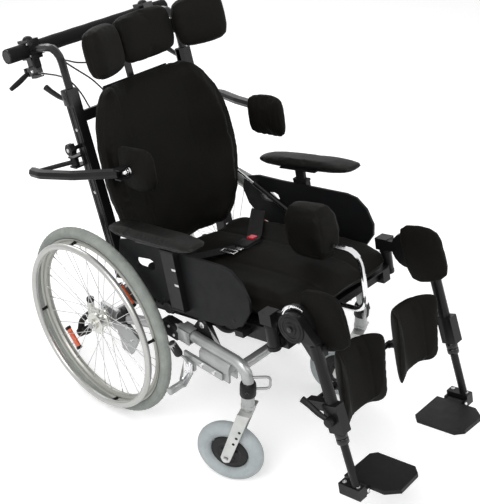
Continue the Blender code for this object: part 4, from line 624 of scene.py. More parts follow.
CLOTH = {
    "quality": 4, "mass": 0.3, "tension_stiffness": 12, "compression_stiffness": 12,
    "shear_stiffness": 6, "bending_stiffness": 0.6,
}
CLOTH_FRAMES = 20
PIPING_SINK = 0.0008


def copy_node(name, node):
    """A new object with a copy of a node's mesh."""
    mesh = NODES[node].data.copy()
    mesh.materials.clear()
    obj = bpy.data.objects.new(name, mesh)
    bpy.context.scene.collection.objects.link(obj)
    return obj


def fuller(obj, matrix, centre, factors):
    """Stretches a cover about a point of a frame: fabric stands a little proud of the solid inside."""
    scale = Matrix.Diagonal((*factors, 1.0))
    place = matrix @ Matrix.Translation(Vector(centre))
    obj.data.transform(place @ scale @ place.inverted())


def apply_modifiers(obj):
    """Makes the modified mesh the object's own."""
    graph = bpy.context.evaluated_depsgraph_get()
    mesh = bpy.data.meshes.new_from_object(obj.evaluated_get(graph))
    old = obj.data
    obj.modifiers.clear()
    obj.data = mesh
    bpy.data.meshes.remove(old)


def vertex_values(obj, name="co"):
    values = np.zeros(len(obj.data.vertices) * 3)
    obj.data.vertices.foreach_get(name, values)
    return values.reshape(-1, 3)


def set_coordinates(obj, points):
    obj.data.vertices.foreach_set("co", points.reshape(-1))
    obj.data.update()


def push_out(obj, distance):
    """Moves every point along its normal."""
    set_coordinates(obj, vertex_values(obj) + vertex_values(obj, "normal") * distance)


def inflate(obj, pressure, cap):
    """Cloth under a little pressure, with the movement of each point capped."""
    before = vertex_values(obj)
    cloth = obj.modifiers.new("cloth", "CLOTH")
    settings = cloth.settings
    for name, value in CLOTH.items():
        setattr(settings, name, value)
    settings.use_pressure = True
    settings.uniform_pressure_force = pressure
    settings.effector_weights.gravity = 0.0
    cloth.point_cache.frame_start = 1
    cloth.point_cache.frame_end = CLOTH_FRAMES
    scene = bpy.context.scene
    for number in range(1, CLOTH_FRAMES + 1):
        scene.frame_set(number)
    apply_modifiers(obj)
    move = vertex_values(obj) - before
    length = np.linalg.norm(move, axis=1, keepdims=True)
    factor = np.minimum(1.0, cap / np.maximum(length, 1e-9))
    set_coordinates(obj, before + move * factor)
    scene.frame_set(1)


def smooth_weights(distance, width):
    """1 on a seam, falling to 0 at the width."""
    t = np.clip(1.0 - np.abs(distance) / width, 0.0, 1.0)
    return t * t * (3 - 2 * t)


def inflate_pad(obj, inset, pressure, cap, space, grooves, crease, voxel=0.004):
    """Remesh, shrink, blow up, round off and sew one pad."""
    remesh = obj.modifiers.new("remesh", "REMESH")
    remesh.mode = "VOXEL"
    remesh.voxel_size = voxel
    soften = obj.modifiers.new("soften", "SMOOTH")
    soften.factor = 0.5
    soften.iterations = 4
    apply_modifiers(obj)
    push_out(obj, -inset)
    inflate(obj, pressure, cap)
    rounder = obj.modifiers.new("rounder", "SUBSURF")
    rounder.levels = rounder.render_levels = 1
    apply_modifiers(obj)
    points, normals = vertex_values(obj), vertex_values(obj, "normal")
    inverse = np.array(space.inverted())
    inner = points @ inverse[:3, :3].T + inverse[:3, 3]
    shift = np.zeros(len(points))
    for groove, depth, width in grooves:
        shift -= depth * smooth_weights(groove(inner[:, 0], inner[:, 1], inner[:, 2]), width)
    shift += crease * (np.sin(inner[:, 0] * 61 + 1.3 * np.sin(inner[:, 2] * 37))
                       * np.sin(inner[:, 1] * 53 + inner[:, 2] * 29))
    set_coordinates(obj, points + normals * shift[:, None])


def finish_pad(obj, body, material, fill, *nodes):
    """Gives a pad its material and body; fill, its softness, is not used."""
    obj.data.materials.clear()
    obj.data.materials.append(material)
    obj.data.shade_smooth()
    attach(obj, body)
    if nodes:
        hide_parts(*nodes)
    return obj


def large_pad(name, node, body, fill, space, grooves, grow):
    """A cushion blown up from its solid and sewn. Grooves are (function, depth, width)."""
    obj = copy_node(name, node)
    fuller(obj, space, *grow)
    inflate_pad(obj, 0.004, 4.0, 0.008, space, grooves, 0.0004, voxel=0.006)
    return finish_pad(obj, body, FABRIC, fill, node)


def small_pad(obj, body, node, space, seam, depth, width=0.006, inset=0.003, cap=0.005, crease=0.0002,
              material=FABRIC, fill=0.8):
    """Blows up a small pad, sews its one seam and lets it replace its solid."""
    inflate_pad(obj, inset, 3.0, cap, space, ((seam, depth, width),), crease)
    return finish_pad(obj, body, material, fill, node)


def seam_at(axis, place):
    """A seam in the plane where a coordinate has one value."""
    return lambda *spot: spot[axis] - place


def section_loops(obj, point, normal):
    """Closed loops of points where a plane cuts a piece."""
    bm = bmesh.new()
    bm.from_mesh(obj.data)
    cut = bmesh.ops.bisect_plane(bm, geom=bm.verts[:] + bm.edges[:] + bm.faces[:], plane_co=point,
                                 plane_no=normal, dist=1e-6)
    edges = dict.fromkeys(e for e in cut["geom_cut"] if isinstance(e, bmesh.types.BMEdge))
    loops = []
    while edges:
        edge, _ = edges.popitem()
        loop = [edge.verts[0], edge.verts[1]]
        other = edge
        while other is not None:
            other = next((e for e in loop[-1].link_edges if e in edges), None)
            if other is not None:
                del edges[other]
                loop.append(other.other_vert(loop[-1]))
        loops.append([v.co.copy() for v in loop])
    bm.free()
    return [loop for loop in loops if len(loop) > 12]


def resample(points, spacing):
    """Evenly spaced points along a closed loop, lightly smoothed."""
    points = [Vector(p) for p in points]
    if (points[0] - points[-1]).length > 1e-5:
        points.append(points[0])
    lengths = [0.0]
    for a, b in zip(points, points[1:]):
        lengths.append(lengths[-1] + (b - a).length)
    count = max(8, int(lengths[-1] / spacing))
    result, k = [], 0
    for i in range(count):
        target = lengths[-1] * i / count
        while lengths[k + 1] < target:
            k += 1
        span = max(1e-9, lengths[k + 1] - lengths[k])
        result.append(points[k].lerp(points[k + 1], (target - lengths[k]) / span))
    for _ in range(2):
        result = [(result[i - 1] + result[i] * 2 + result[(i + 1) % count]) / 4 for i in range(count)]
    return result


def piping(name, obj, body, material, place, normal, radius):
    """A corded edge sewn round a pad where a plane meets it."""
    loops = section_loops(obj, place, normal)
    if not loops:
        return None
    loop = resample(max(loops, key=len), 0.006)
    middle = sum(loop, Vector()) / len(loop)
    loop = [p + (middle - p).normalized() * PIPING_SINK for p in loop]
    bm = bmesh.new()
    sweep(bm, loop, radius, 8, closed=True)
    return finish_mesh(name, bm, material, body, degrees=80)


# Seat, back and arm pads

def split_pad(obj, matrix, place, normal):
    """Keeps the part of a piece on the side that the normal points to, and closes the cut."""
    bm = bmesh.new()
    bm.from_mesh(obj.data)
    bmesh.ops.remove_doubles(bm, verts=bm.verts[:], dist=1e-5)
    point = matrix @ Vector(place)
    direction = (matrix.to_3x3() @ Vector(normal)).normalized()
    bmesh.ops.bisect_plane(bm, geom=bm.verts[:] + bm.edges[:] + bm.faces[:], plane_co=point,
                           plane_no=direction, clear_inner=True)
    bmesh.ops.holes_fill(bm, edges=[e for e in bm.edges if e.is_boundary])
    bm.to_mesh(obj.data)
    bm.free()


def seat_goods():
    """Seat cushion with two sewn channels, a band and piping."""
    def channel(x, y, z):
        return np.where(z > 0.07, np.minimum(np.abs(x - 0.075), np.abs(x + 0.075)), 1.0)

    grooves = ((channel, 0.0022, 0.012), (seam_at(2, 0.058), 0.0020, 0.008))
    cushion = large_pad("seat_pad", "seat_cushion", "seat", 0.8, SEAT, grooves,
                        grow=((0.0, -0.18, 0.0), (1.0, 1.012, 1.0)))
    up = SEAT.to_3x3() @ Vector((0, 0, 1))
    piping("seat_pad_piping", cushion, "seat", FABRIC, SEAT @ Vector((0, 0, 0.066)), up, 0.0024)


def back_goods():
    """Back cushion with its side bolsters."""
    def bolster(x, y, z):
        return np.where(y < -0.045, np.abs(np.abs(x) - 0.118 - 0.10 * (z - 0.28) ** 2), 1.0)

    def band(x, y, z):
        rim = np.abs(x) > 0.12
        return np.where(rim, y + 0.062 + 0.055 * np.clip((np.abs(x) - 0.14) / 0.12, 0, None) ** 1.6, 1.0)

    grooves = ((bolster, 0.0020, 0.014), (band, 0.0018, 0.007))
    large_pad("back_pad", "back_cushion", "back", 0.75, BACK, grooves,
              grow=((0.0, -0.023, 0.545), (1.0, 1.0, 1.016)))


def arm_pad(side, word):
    """Armrest cushion, the plate under it with its screws, and its bar."""
    node = f"armrest_pad_{word}"
    obj = copy_node(f"arm_cushion_{word}", node)
    split_pad(obj, SEAT, (0, 0, 0.2655), (0, 0, 1))
    small_pad(obj, f"armrest_{word}", node, SEAT, seam_at(2, 0.2775), 0.0014, inset=0.004, crease=0.00025,
              material=SKIN, fill=0.7)
    bm = bmesh.new()
    side_blocks(bm, side, (((0.2688, 0.0200, 0.096), (0.2798, 0.0540, 0.2735)),), SEAT, 0.0015)
    side_blocks(bm, side, (((0.262, -0.03, 0.2640), (0.322, 0.11, 0.2690)),), SEAT, 0.0012)
    screws(bm, SEAT, (0, 0, -1), [(side * 0.300, y, 0.2645) for y in (0.0, 0.08)], 0.0042, 0.0022)
    finish_mesh(f"arm_bar_{word}", bm, BLACK_METAL, f"armrest_{word}")


def cage(name, columns, rows, shape, matrix, levels):
    """A padded form from a coarse cage: shape takes across, along and the face."""
    bm = bmesh.new()
    bmesh.ops.create_grid(bm, x_segments=columns, y_segments=rows, size=1.0)
    grown = bmesh.ops.extrude_face_region(bm, geom=bm.faces[:])
    for item in grown["geom"]:
        if isinstance(item, bmesh.types.BMVert):
            item.co.z = 1.0
    for vertex in bm.verts:
        vertex.co = Vector(shape(vertex.co.x, vertex.co.y, round(vertex.co.z)))
    bm.transform(matrix)
    bmesh.ops.recalc_face_normals(bm, faces=bm.faces[:])
    if bm.calc_volume(signed=True) < 0:
        bmesh.ops.reverse_faces(bm, faces=bm.faces[:])
    mesh = bpy.data.meshes.new(name)
    bm.to_mesh(mesh)
    bm.free()
    obj = bpy.data.objects.new(name, mesh)
    bpy.context.scene.collection.objects.link(obj)
    smooth = obj.modifiers.new("smooth", "SUBSURF")
    smooth.levels = smooth.render_levels = levels
    apply_modifiers(obj)
    return obj


def head_goods():
    """Headrest cushion and its two hinged wings."""
    pad = copy_node("head_cushion", "headrest_pad")
    fuller(pad, BACK, (0.0, -0.0723, 0.643), (1.03, 1.0, 1.07))
    small_pad(pad, "headrest", "headrest_pad", BACK, seam_at(1, -0.100), 0.0016, inset=0.001)
    for side, word in SIDES:
        x, u, w = HEAD_HINGE
        hinge = local(BACK, (side * x, u, w), turn=-side * HEAD_TURNS[word])
        node = f"headrest_wing_{word}"
        wing = copy_node(f"head_wing_{word}", node)
        split_pad(wing, hinge, (side * 0.0185, 0, 0), (side, 0, 0))
        fuller(wing, hinge, (side * 0.0185, -0.043, 0.0), (1.065, 1.0, 1.0))
        small_pad(wing, node, node, hinge, seam_at(1, -0.040), 0.0016, inset=0.001)
        bm = bmesh.new()
        profile = ((0.0046, -0.0235), (0.0068, -0.0235), (0.0074, -0.0225),
                   (0.0074, 0.0225), (0.0068, 0.0235), (0.0046, 0.0235))
        lathe(bm, profile, 24, hinge, closed=True, axis="Z")
        block(bm, (side * 0.004, -0.0148, -0.0185), (side * 0.036, -0.0030, 0.0185), hinge, 0.0015)
        finish_mesh(f"head_hinge_{word}", bm, BLACK_METAL, node)


def lateral_goods():
    """Ribbed trunk pads on ball joints."""
    x, u = LATERAL_PIVOT
    for side, word in SIDES:
        end_x, end_u = LATERAL_ENDS[word]
        swing = local(BACK, (side * x, u, LATERAL_HEIGHTS[word]), tilt=LATERAL_TILT)
        pivot = local(swing, (side * (end_x - x), end_u - u, 0.0))
        node = f"lateral_pad_{word}"
        pad = copy_node(f"trunk_pad_{word}", node)
        split_pad(pad, pivot, (side * -0.0112, 0, 0), (-side, 0, 0))
        fuller(pad, pivot, (side * -0.0112, 0.0, 0.0), (1.0, 1.14, 1.14))

        def ribs(x, y, _):
            return np.where(x * side < -0.030, (y + 0.004 + 0.006) % 0.0215 - 0.01075, 1.0)

        small_pad(pad, node, node, pivot, ribs, 0.0010, 0.0050)
        bm = bmesh.new()
        ball = [(0.0100 * math.cos(t), 0.0100 * math.sin(t)) for t in np.linspace(-0.9, 0.9, 11)]
        lathe(bm, [(0.0046, -0.0108), *ball, (0.0046, 0.0108)], 28, pivot, closed=True, axis="Z")
        profile = ((0.0058, 0.0), (0.0058, 0.008), (0.0110, 0.0095), (0.0120, 0.0120))
        neck = pivot @ Matrix.Rotation(math.pi / 2 * -side, 4, "Y")
        lathe(bm, profile, 24, neck, axis="Z")
        finish_mesh(f"trunk_joint_{word}", bm, CHROME, node)


def leg_goods():
    """Knee pads, and the calf pads below them."""
    for side, word in SIDES:
        knee = copy_node(f"knee_cushion_{word}", f"knee_pad_{word}")
        to_leg = LEG[word].inverted() @ NODES[f"knee_pad_{word}"].matrix_world
        corners = [to_leg @ v.co for v in knee.data.vertices]
        middle = [(min(c[k] for c in corners) + max(c[k] for c in corners)) / 2 for k in range(3)]
        fuller(knee, LEG[word], middle, (1.05, 1.12, 1.08))
        seam = seam_at(0, side * -0.0385)
        small_pad(knee, f"leg_{word}", f"knee_pad_{word}", LEG[word], seam, 0.0012, 0.005)
        calf_goods(side, word)


def calf_goods(side, word):
    """Winged calf pad and the two clips that hold it on its rod."""
    top, bottom = CALF_Z
    centre, half = -0.130, 0.101

    def shape(across, along, face):
        z = (top + bottom) / 2 + along * (top - bottom) / 2
        if along < 0:
            z += 0.018 * (1 - across ** 2)
        lean = -0.018 * (z - bottom) / (top - bottom) / 0.9
        wing = max(0.0, (abs(across) - 0.5) / 0.5)
        reach = 0.050 + 0.040 * (z - bottom) / (top - bottom)
        if face:
            return side * (centre + across * half * 0.80), -0.016 + lean - wing * (reach - 0.022), z
        return side * (centre + across * half), 0.012 + lean - wing * reach * 0.95, z

    pad = cage(f"calf_cushion_{word}", 4, 3, shape, LEG[word], 4)

    def panel(x, y, z):
        return np.abs(np.abs(x - side * centre) - 0.048) + np.where(y > -0.02, 1.0, 0.0)

    small_pad(pad, f"calf_{word}", f"calf_pad_{word}", LEG[word], panel, 0.0010, crease=0.00025, fill=0.75)
    bm = bmesh.new()
    for offset in (-0.040, 0.040):
        x = side * (centre + offset)
        ring = Matrix.Translation((x, *CALF_ROD))
        profile = ((0.0064, -0.006), (0.0096, -0.006), (0.0102, -0.0054),
                   (0.0102, 0.0054), (0.0096, 0.006), (0.0064, 0.006))
        lathe(bm, profile, 24, LEG[word] @ ring, closed=True, axis="X")
        block(bm, (x - 0.006, -0.022, -0.2225), (x + 0.006, 0.0095, -0.2075), LEG[word], 0.0010)
    finish_mesh(f"calf_clips_{word}", bm, BLACK_PLASTIC, f"calf_{word}")


def pommel_goods():
    """Pommel cushion with a seam down each flank."""
    pad = copy_node("pommel_cushion", "pommel_pad")
    small_pad(pad, "pommel", "pommel_pad", SEAT, lambda x, y, z: np.abs(x) - 0.034, 0.0012, cap=0.006,
              fill=0.85)


seat_goods()
back_goods()
for side, word in SIDES:
    arm_pad(side, word)
head_goods()
lateral_goods()
leg_goods()
pommel_goods()


# Rear wheels

TYRE_RING = WHEEL_RADIUS - 0.0175
TYRE_HALF = 0.0175
RIM_TOP = WHEEL_RADIUS - 0.035
SPOKE_COUNT = 36
PUSHRIM_RING = 0.262
STANDOFF_TURN = 14.8
REFLECTOR_RADIUS = 0.204
REFLECTOR_TURNS = (40.5, 226.2)


def tyre_profile(ring, half, tread):
    """Round section with a flat seat on the rim, a sidewall line and a shallow tread."""
    profile = []
    for k in range(44):
        angle = 2 * math.pi * k / 44
        r = half
        out = math.cos(angle)
        if out > 0.55:
            r -= tread * (0.5 + 0.5 * math.cos(6 * math.pi * math.sin(angle)))
        if abs(out - 0.22) < 0.09:
            r += 0.0007
        radial = ring + r * math.cos(angle)
        profile.append((min(ring + half, max(radial, ring - half * 0.86)), r * math.sin(angle)))
    return profile


def rear_tyre(side, word):
    """Grey tyre and the small blocks along its shoulders."""
    profile = tyre_profile(TYRE_RING, TYRE_HALF, 0.0009)
    tyre = turned(f"tyre_{word}", profile, 128, WHEEL[word], GREY_TYRE, f"wheel_{word}", 70, closed=True)
    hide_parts(f"rear_tyre_{word}")
    bm = bmesh.new()
    for k in range(96):
        turn = Matrix.Rotation(2 * math.pi * (k + 0.5) / 96, 4, "X")
        for edge in (-1, 1):
            rise = Matrix.Translation((edge * 0.0080, 0.0, TYRE_RING + 0.0150))
            lean = rise @ Matrix.Rotation(edge * 0.50, 4, "Y")
            block(bm, (-0.0030, -0.0036 + edge * 0.0015, -0.001), (0.0030, 0.0036 + edge * 0.0015, 0.0006),
                  WHEEL[word] @ turn @ lean, 0.0005)
    finish_mesh(f"tread_{word}", bm, GREY_TYRE, f"wheel_{word}")


def rim(side, word):
    """Hollow rim with its valve."""
    bm = bmesh.new()
    profile = (
        (RIM_TOP - 0.0004, -0.0092), (RIM_TOP + 0.0030, -0.0126), (RIM_TOP + 0.0038, -0.0133),
        (RIM_TOP + 0.0030, -0.0140), (RIM_TOP - 0.0040, -0.0137), (RIM_TOP - 0.0110, -0.0128),
        (RIM_TOP - 0.0165, -0.0080), (RIM_TOP - 0.0192, -0.0030), (RIM_TOP - 0.0196, 0.0),
        (RIM_TOP - 0.0192, 0.0030), (RIM_TOP - 0.0165, 0.0080), (RIM_TOP - 0.0110, 0.0128),
        (RIM_TOP - 0.0040, 0.0137), (RIM_TOP + 0.0030, 0.0140), (RIM_TOP + 0.0038, 0.0133),
        (RIM_TOP + 0.0030, 0.0126), (RIM_TOP - 0.0004, 0.0092),
    )
    lathe(bm, profile, 128, WHEEL[word], closed=True)
    valve = WHEEL[word] @ Matrix.Rotation(0.62, 4, "X")
    stem = [(0.0027, RIM_TOP - 0.019), (0.0027, RIM_TOP - 0.028), (0.0034, RIM_TOP - 0.0285),
            (0.0034, RIM_TOP - 0.040), (0.0022, RIM_TOP - 0.0415)]
    lathe(bm, stem, 12, valve, axis="Z")
    wheel = finish_mesh(f"rim_{word}", bm, RIM_METAL, f"wheel_{word}", degrees=50)
    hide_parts(f"rear_wheel_{word}")


def spokes(side, word):
    """Crossed spokes and their nipples."""
    steel, nipples = bmesh.new(), bmesh.new()
    for number in range(SPOKE_COUNT):
        flange = 1 if number % 2 else -1
        lean = 1 if (number // 2) % 2 else -1
        rim_angle = 2 * math.pi * (number + 0.25) / SPOKE_COUNT
        hub_angle = rim_angle + lean * math.radians(62)
        hub_x = flange * 0.018 + lean * 0.0046
        start = Vector((hub_x, 0.0236 * math.cos(hub_angle), 0.0236 * math.sin(hub_angle)))
        reach = RIM_TOP - 0.0185
        end = Vector((flange * 0.0042, reach * math.cos(rim_angle), reach * math.sin(rim_angle)))
        elbow = start + Vector((-lean * 0.0052, 0, 0))
        path = [WHEEL[word] @ p for p in (elbow, start, start.lerp(end, 0.06), end)]
        sweep(steel, path, 0.0010, 7)
        tip = end.lerp(start, 0.050)
        sweep(nipples, [WHEEL[word] @ p for p in (end, end.lerp(tip, 0.3), tip)],
              lambda t: 0.0021 - 0.0004 * t, 8)
    finish_mesh(f"spokes_{word}", steel, STEEL, f"wheel_{word}", degrees=70)
    finish_mesh(f"nipples_{word}", nipples, STEEL, f"wheel_{word}", degrees=60)


def hub(side, word):
    """Hub shell with the spokes' heads in its flanges."""
    bm = bmesh.new()
    profile = [
        (0.0068, -0.0262), (0.0150, -0.0262), (0.0158, -0.0250), (0.0158, -0.0228), (0.0270, -0.0222),
        (0.0280, -0.0212), (0.0280, -0.0150), (0.0270, -0.0142), (0.0200, -0.0134), (0.0165, -0.0090),
        (0.0155, 0.0), (0.0165, 0.0090), (0.0200, 0.0134), (0.0325, 0.0142), (0.0335, 0.0150),
        (0.0335, 0.0212), (0.0325, 0.0222), (0.0158, 0.0228), (0.0158, 0.0280), (0.0146, 0.0300),
        (0.0068, 0.0300),
    ]
    lathe(bm, mirrored(side, profile), 40, WHEEL[word], closed=True)
    for edge in (-1, 1):
        spots = [(edge * 0.0222, y, z) for y, z in circle(18, 0.0236, 0.5)]
        screws(bm, WHEEL[word], (edge, 0, 0), spots, 0.0016, 0.0011, "dome")
    finish_mesh(f"hub_{word}", bm, HUB_METAL, f"wheel_{word}", degrees=42)


def reflectors(side, word):
    """Long orange lenses with round ends, each clipped to two spokes by black jaws."""
    for turn, tag in zip(REFLECTOR_TURNS, "ab"):
        place = WHEEL[word] @ Matrix.Rotation(math.radians(turn), 4, "X")
        outline = []
        for end in (-1, 1):
            for k in range(9):
                angle = math.pi * (k / 8 - 0.5) + (0 if end > 0 else math.pi)
                y = end * 0.0275 + 0.0112 * math.cos(angle)
                outline.append((y, REFLECTOR_RADIUS + 0.0112 * math.sin(angle)))
        lens = bmesh.new()
        slab(lens, outline, -0.0042, 0.0042, "X", place, 0.0022)
        finish_mesh(f"reflector_{word}_{tag}", lens, REFLECTOR, f"wheel_{word}")
        clips = bmesh.new()
        for y in (-0.0355, 0.0355):
            low = (-0.0062, y - 0.0052, REFLECTOR_RADIUS - 0.0110)
            block(clips, low, (0.0062, y + 0.0052, REFLECTOR_RADIUS + 0.0110), place, 0.0025)
            spot = place @ Vector((side * 0.0062, y, REFLECTOR_RADIUS))
            screw(clips, spot, (side, 0, 0), 0.0030, 0.0012, "dome")
        finish_mesh(f"reflector_clips_{word}_{tag}", clips, BLACK_PLASTIC, f"wheel_{word}")


def pushrim(side, word):
    """Hand rim on four standoffs."""
    bm = bmesh.new()
    ring = [WHEEL[word] @ Vector((side * 0.044, y, z)) for y, z in circle(120, PUSHRIM_RING)]
    sweep(bm, ring, 0.0098, 18, closed=True)
    rim_piece = finish_mesh(f"hand_rim_{word}", bm, PUSHRIM_METAL, f"wheel_{word}", degrees=60)
    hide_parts(f"pushrim_{word}")
    bm = bmesh.new()
    for number in range(4):
        angle = math.radians(STANDOFF_TURN + 90 * number)
        y, z = math.sin(angle), math.cos(angle)
        foot = Vector((side * 0.0120, 0.2655 * y, 0.2655 * z))
        head = Vector((side * 0.0400, PUSHRIM_RING * y, PUSHRIM_RING * z))
        sweep(bm, [WHEEL[word] @ p for p in (foot, foot.lerp(head, 0.2), foot.lerp(head, 0.8), head)],
              lambda t: 0.0062 - 0.0020 * math.sin(math.pi * t), 14)
    finish_mesh(f"standoffs_{word}", bm, BLACK_PLASTIC, f"wheel_{word}")


def axle_button(side, word):
    """Push button of the removable axle."""
    profile = ((0.0098, 0.0306), (0.0104, 0.0320), (0.0104, 0.0362), (0.0092, 0.0380), (0.0060, 0.0384),
               (0.0058, 0.0366), (0.0030, 0.0362))
    turned(f"axle_button_{word}", mirrored(side, profile), 28, WHEEL[word], CHROME, "base", 38)


for side, word in SIDES:
    for make in (rear_tyre, rim, spokes, hub, reflectors, pushrim, axle_button):
        make(side, word)


# Castors

def castor_tyre(word):
    """Solid tyre with a lightly ribbed tread."""
    half = 0.0225
    ring = CASTOR_RADIUS - half
    profile = []
    for k in range(40):
        angle = 2 * math.pi * k / 40
        r = half
        out = math.cos(angle)
        if out > 0.6:
            r -= 0.0010 * (0.5 + 0.5 * math.cos(5 * math.pi * math.sin(angle)))
        if -0.55 < out < -0.35:
            r -= 0.0012
        profile.append((min(ring + half, ring + r * math.cos(angle)), r * math.sin(angle)))
    tyre = turned(f"small_tyre_{word}", profile, 96, CASTOR[word], CASTOR_RUBBER, f"castor_wheel_{word}", 70,
                  closed=True)
    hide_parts(f"castor_tyre_{word}")


def castor_hub(word):
    """Two-part hub with five screws on each flank."""
    bm = bmesh.new()
    edge = CASTOR_RADIUS - 0.045 - 0.0004
    profile = [
        (0.0048, 0.0200), (0.0115, 0.0200), (0.0122, 0.0192), (0.0130, 0.0128), (0.0300, 0.0104),
        (0.0330, 0.0112), (0.0360, 0.0132), (0.0400, 0.0128), (0.0500, 0.0112), (edge, 0.0086),
    ]
    lathe(bm, profile + mirrored(-1, reversed(profile)), 64, CASTOR[word], closed=True)
    for flank in (-1, 1):
        spots = [(flank * 0.0106, y, z) for y, z in circle(5, 0.0225, start=0.3)]
        screws(bm, CASTOR[word], (flank, 0, 0), spots, 0.0042, 0.0026, "hex")
    piece = finish_mesh(f"small_hub_{word}", bm, HUB_PLASTIC, f"castor_wheel_{word}", degrees=40)
    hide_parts(f"castor_hub_{word}")


def castor_fork_trim(word):
    """Axle screws with their washers, and flat black discs of painted shade for the rows of adjusting holes
    in the fork's legs.
    """
    bm = bmesh.new()
    profile = ((0.0044, -0.0006), (0.0100, -0.0006), (0.0100, 0.0010), (0.0044, 0.0010))
    for flank in (-1, 1):
        screws(bm, SWIVEL[word], (flank, 0, 0), [(flank * 0.0422, CASTOR_TRAIL, 0.0)], 0.0075, 0.0045, "hex")
        washer = SWIVEL[word] @ Matrix.Translation((flank * FORK_FACE, CASTOR_TRAIL, 0.0))
        lathe(bm, profile, 24, washer, closed=True)
    finish_mesh(f"fork_screws_{word}", bm, STEEL, f"castor_fork_{word}")
    # Black discs on the fork's faces: painted shade standing in for the adjusting holes.
    bm = bmesh.new()
    for flank in (-1, 1):
        x = flank * (FORK_FACE - 0.00015)
        spots = [(x, -0.004 + share * (CASTOR_TRAIL + 0.004), STEM_HEIGHT * (1 - share))
                 for share in (0.26, 0.42, 0.58)]
        screws(bm, SWIVEL[word], (flank, 0, 0), spots, 0.0042, 0.0006)
    finish_mesh(f"fork_hole_shade_{word}", bm, BLACK_PLASTIC, f"castor_fork_{word}")


for _, word in SIDES:
    castor_tyre(word)
    castor_hub(word)
    castor_fork_trim(word)


# Lap belt

BELT_HALF_WIDTH = 0.0222
BELT_ROUTE = (
    (CUSHION_FLANK, 0.205, 0.012), (0.2225, 0.200, 0.060), (CUSHION_FLANK, 0.191, 0.112),
    (0.2130, 0.182, 0.1325), (0.1300, 0.112, 0.1365),
)
BUCKLE_LOW, BUCKLE_HIGH = 0.1285, 0.1415


def strap(bm, route, half_width, thickness, matrix):
    """Flat webbing along a smooth path, its width kept along Y, with thicker selvedges."""
    points = curve_through(route, 9)
    rows = []
    for before, point, after in zip([points[0]] + points[:-1], points, points[1:] + [points[-1]]):
        along = (after - before).normalized()
        across = (Vector((0, 1, 0)) - along * along.y).normalized()
        up = along.cross(across)
        row = []
        for share in (-1.0, -0.90, -0.5, 0.0, 0.5, 0.90, 1.0):
            row.append((share, 0.5 if abs(share) > 0.95 else 1.15 if abs(share) > 0.8 else 1.0))
        ring = [(s, h) for s, h in row] + [(s, -h) for s, h in reversed(row)]
        rows.append([bm.verts.new(matrix @ (point + across * s * half_width + up * h * thickness / 2))
                     for s, h in ring])
    grid_faces(bm, rows, False, True)
    bm.faces.new(rows[0])
    bm.faces.new(rows[-1])


def lap_belt():
    """Two straps, the buckle's frame and the adjuster."""
    pieces = []
    for side, word in SIDES:
        end = (0.046, 0.042, 0.1375) if side > 0 else (0.034, 0.040, 0.1365)
        route = [(side * x, y, z) for x, y, z in (*BELT_ROUTE, end)]
        bm = bmesh.new()
        strap(bm, route, BELT_HALF_WIDTH, 0.0026, SEAT)
        anchors = [(side * 0.2242, 0.2045 + y, 0.022) for y in (-0.010, 0.010)]
        screws(bm, SEAT, (side, 0, 0), anchors, 0.0048, 0.0022)
        pieces.append(finish_mesh(f"belt_strap_{word}", bm, WEBBING, "seat"))
    bm = bmesh.new()
    tapered = [(-0.020, 0.018), (-0.014, 0.014), (0.044, 0.014), (0.052, 0.020),
               (0.052, 0.056), (0.044, 0.062), (-0.014, 0.062), (-0.020, 0.058)]
    slab(bm, tapered, BUCKLE_LOW, BUCKLE_LOW + 0.0055, "Z", SEAT, 0.0014)
    left = [(-0.020, 0.018), (-0.014, 0.014), (0.0232, 0.014),
            (0.0232, 0.062), (-0.014, 0.062), (-0.020, 0.058)]
    right = [(0.0448, 0.014), (0.0452, 0.014), (0.052, 0.020),
             (0.052, 0.056), (0.0452, 0.062), (0.0448, 0.062)]
    for outline in (left, right):
        slab(bm, outline, BUCKLE_LOW + 0.0050, BUCKLE_HIGH, "Z", SEAT, 0.0016)
    for low, high in ((0.014, 0.0252), (0.0488, 0.062)):
        block(bm, (0.0228, low, BUCKLE_LOW + 0.0050), (0.0452, high, BUCKLE_HIGH), SEAT, 0.0014)
    buckle = finish_mesh("belt_buckle", bm, BLACK_PLASTIC, "seat")
    bm = bmesh.new()
    block(bm, (-0.036, 0.020, 0.1330), (-0.019, 0.056, 0.1352), SEAT, 0.0009)
    for x in (-0.074, -0.056):
        block(bm, (x, 0.012, 0.1382), (x + 0.0045, 0.066, 0.1418), SEAT, 0.0010)
    for y in (0.010, 0.062):
        block(bm, (-0.074, y, 0.1376), (-0.0515, y + 0.0045, 0.1412), SEAT, 0.0010)
    finish_mesh("belt_adjuster", bm, STEEL, "seat")
    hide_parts("lap_belt")
    for piece in pieces:
        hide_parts("lap_belt")


lap_belt()


# Push bar

def push_bar_grips():
    """Foam on the bar's two ends and its middle."""
    bar = BACK @ Matrix.Translation(BAR_PLACE)
    near, far = GRIP_END_X
    profile = [
        (0.0115, near), (0.0200, near), (0.0213, 0.2395), (0.0213, 0.2960), (0.0203, 0.2990),
        (0.0186, far), (0.0166, 0.3001), (0.0150, 0.2980), (0.0145, 0.2900), (0.0115, 0.2890),
    ]
    for side, word in SIDES:
        turned(f"grip_end_{word}", mirrored(side, profile), 32, bar, FOAM, "push_bar", 50, closed=True)
    profile = [(0.0116, -GRIP_HALF), (0.0196, -GRIP_HALF), (0.0209, -0.1965)]
    for k in range(25):
        x = -0.190 + 0.380 * k / 24
        profile.append((GRIP_RADIUS + 0.0003 * math.sin(5.0 * k), x))
    profile += [(0.0209, 0.1965), (0.0196, GRIP_HALF), (0.0116, GRIP_HALF)]
    grip = turned("grip_middle", profile, 36, bar, FOAM, "push_bar", 50, closed=True)
    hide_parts("push_bar_grip")


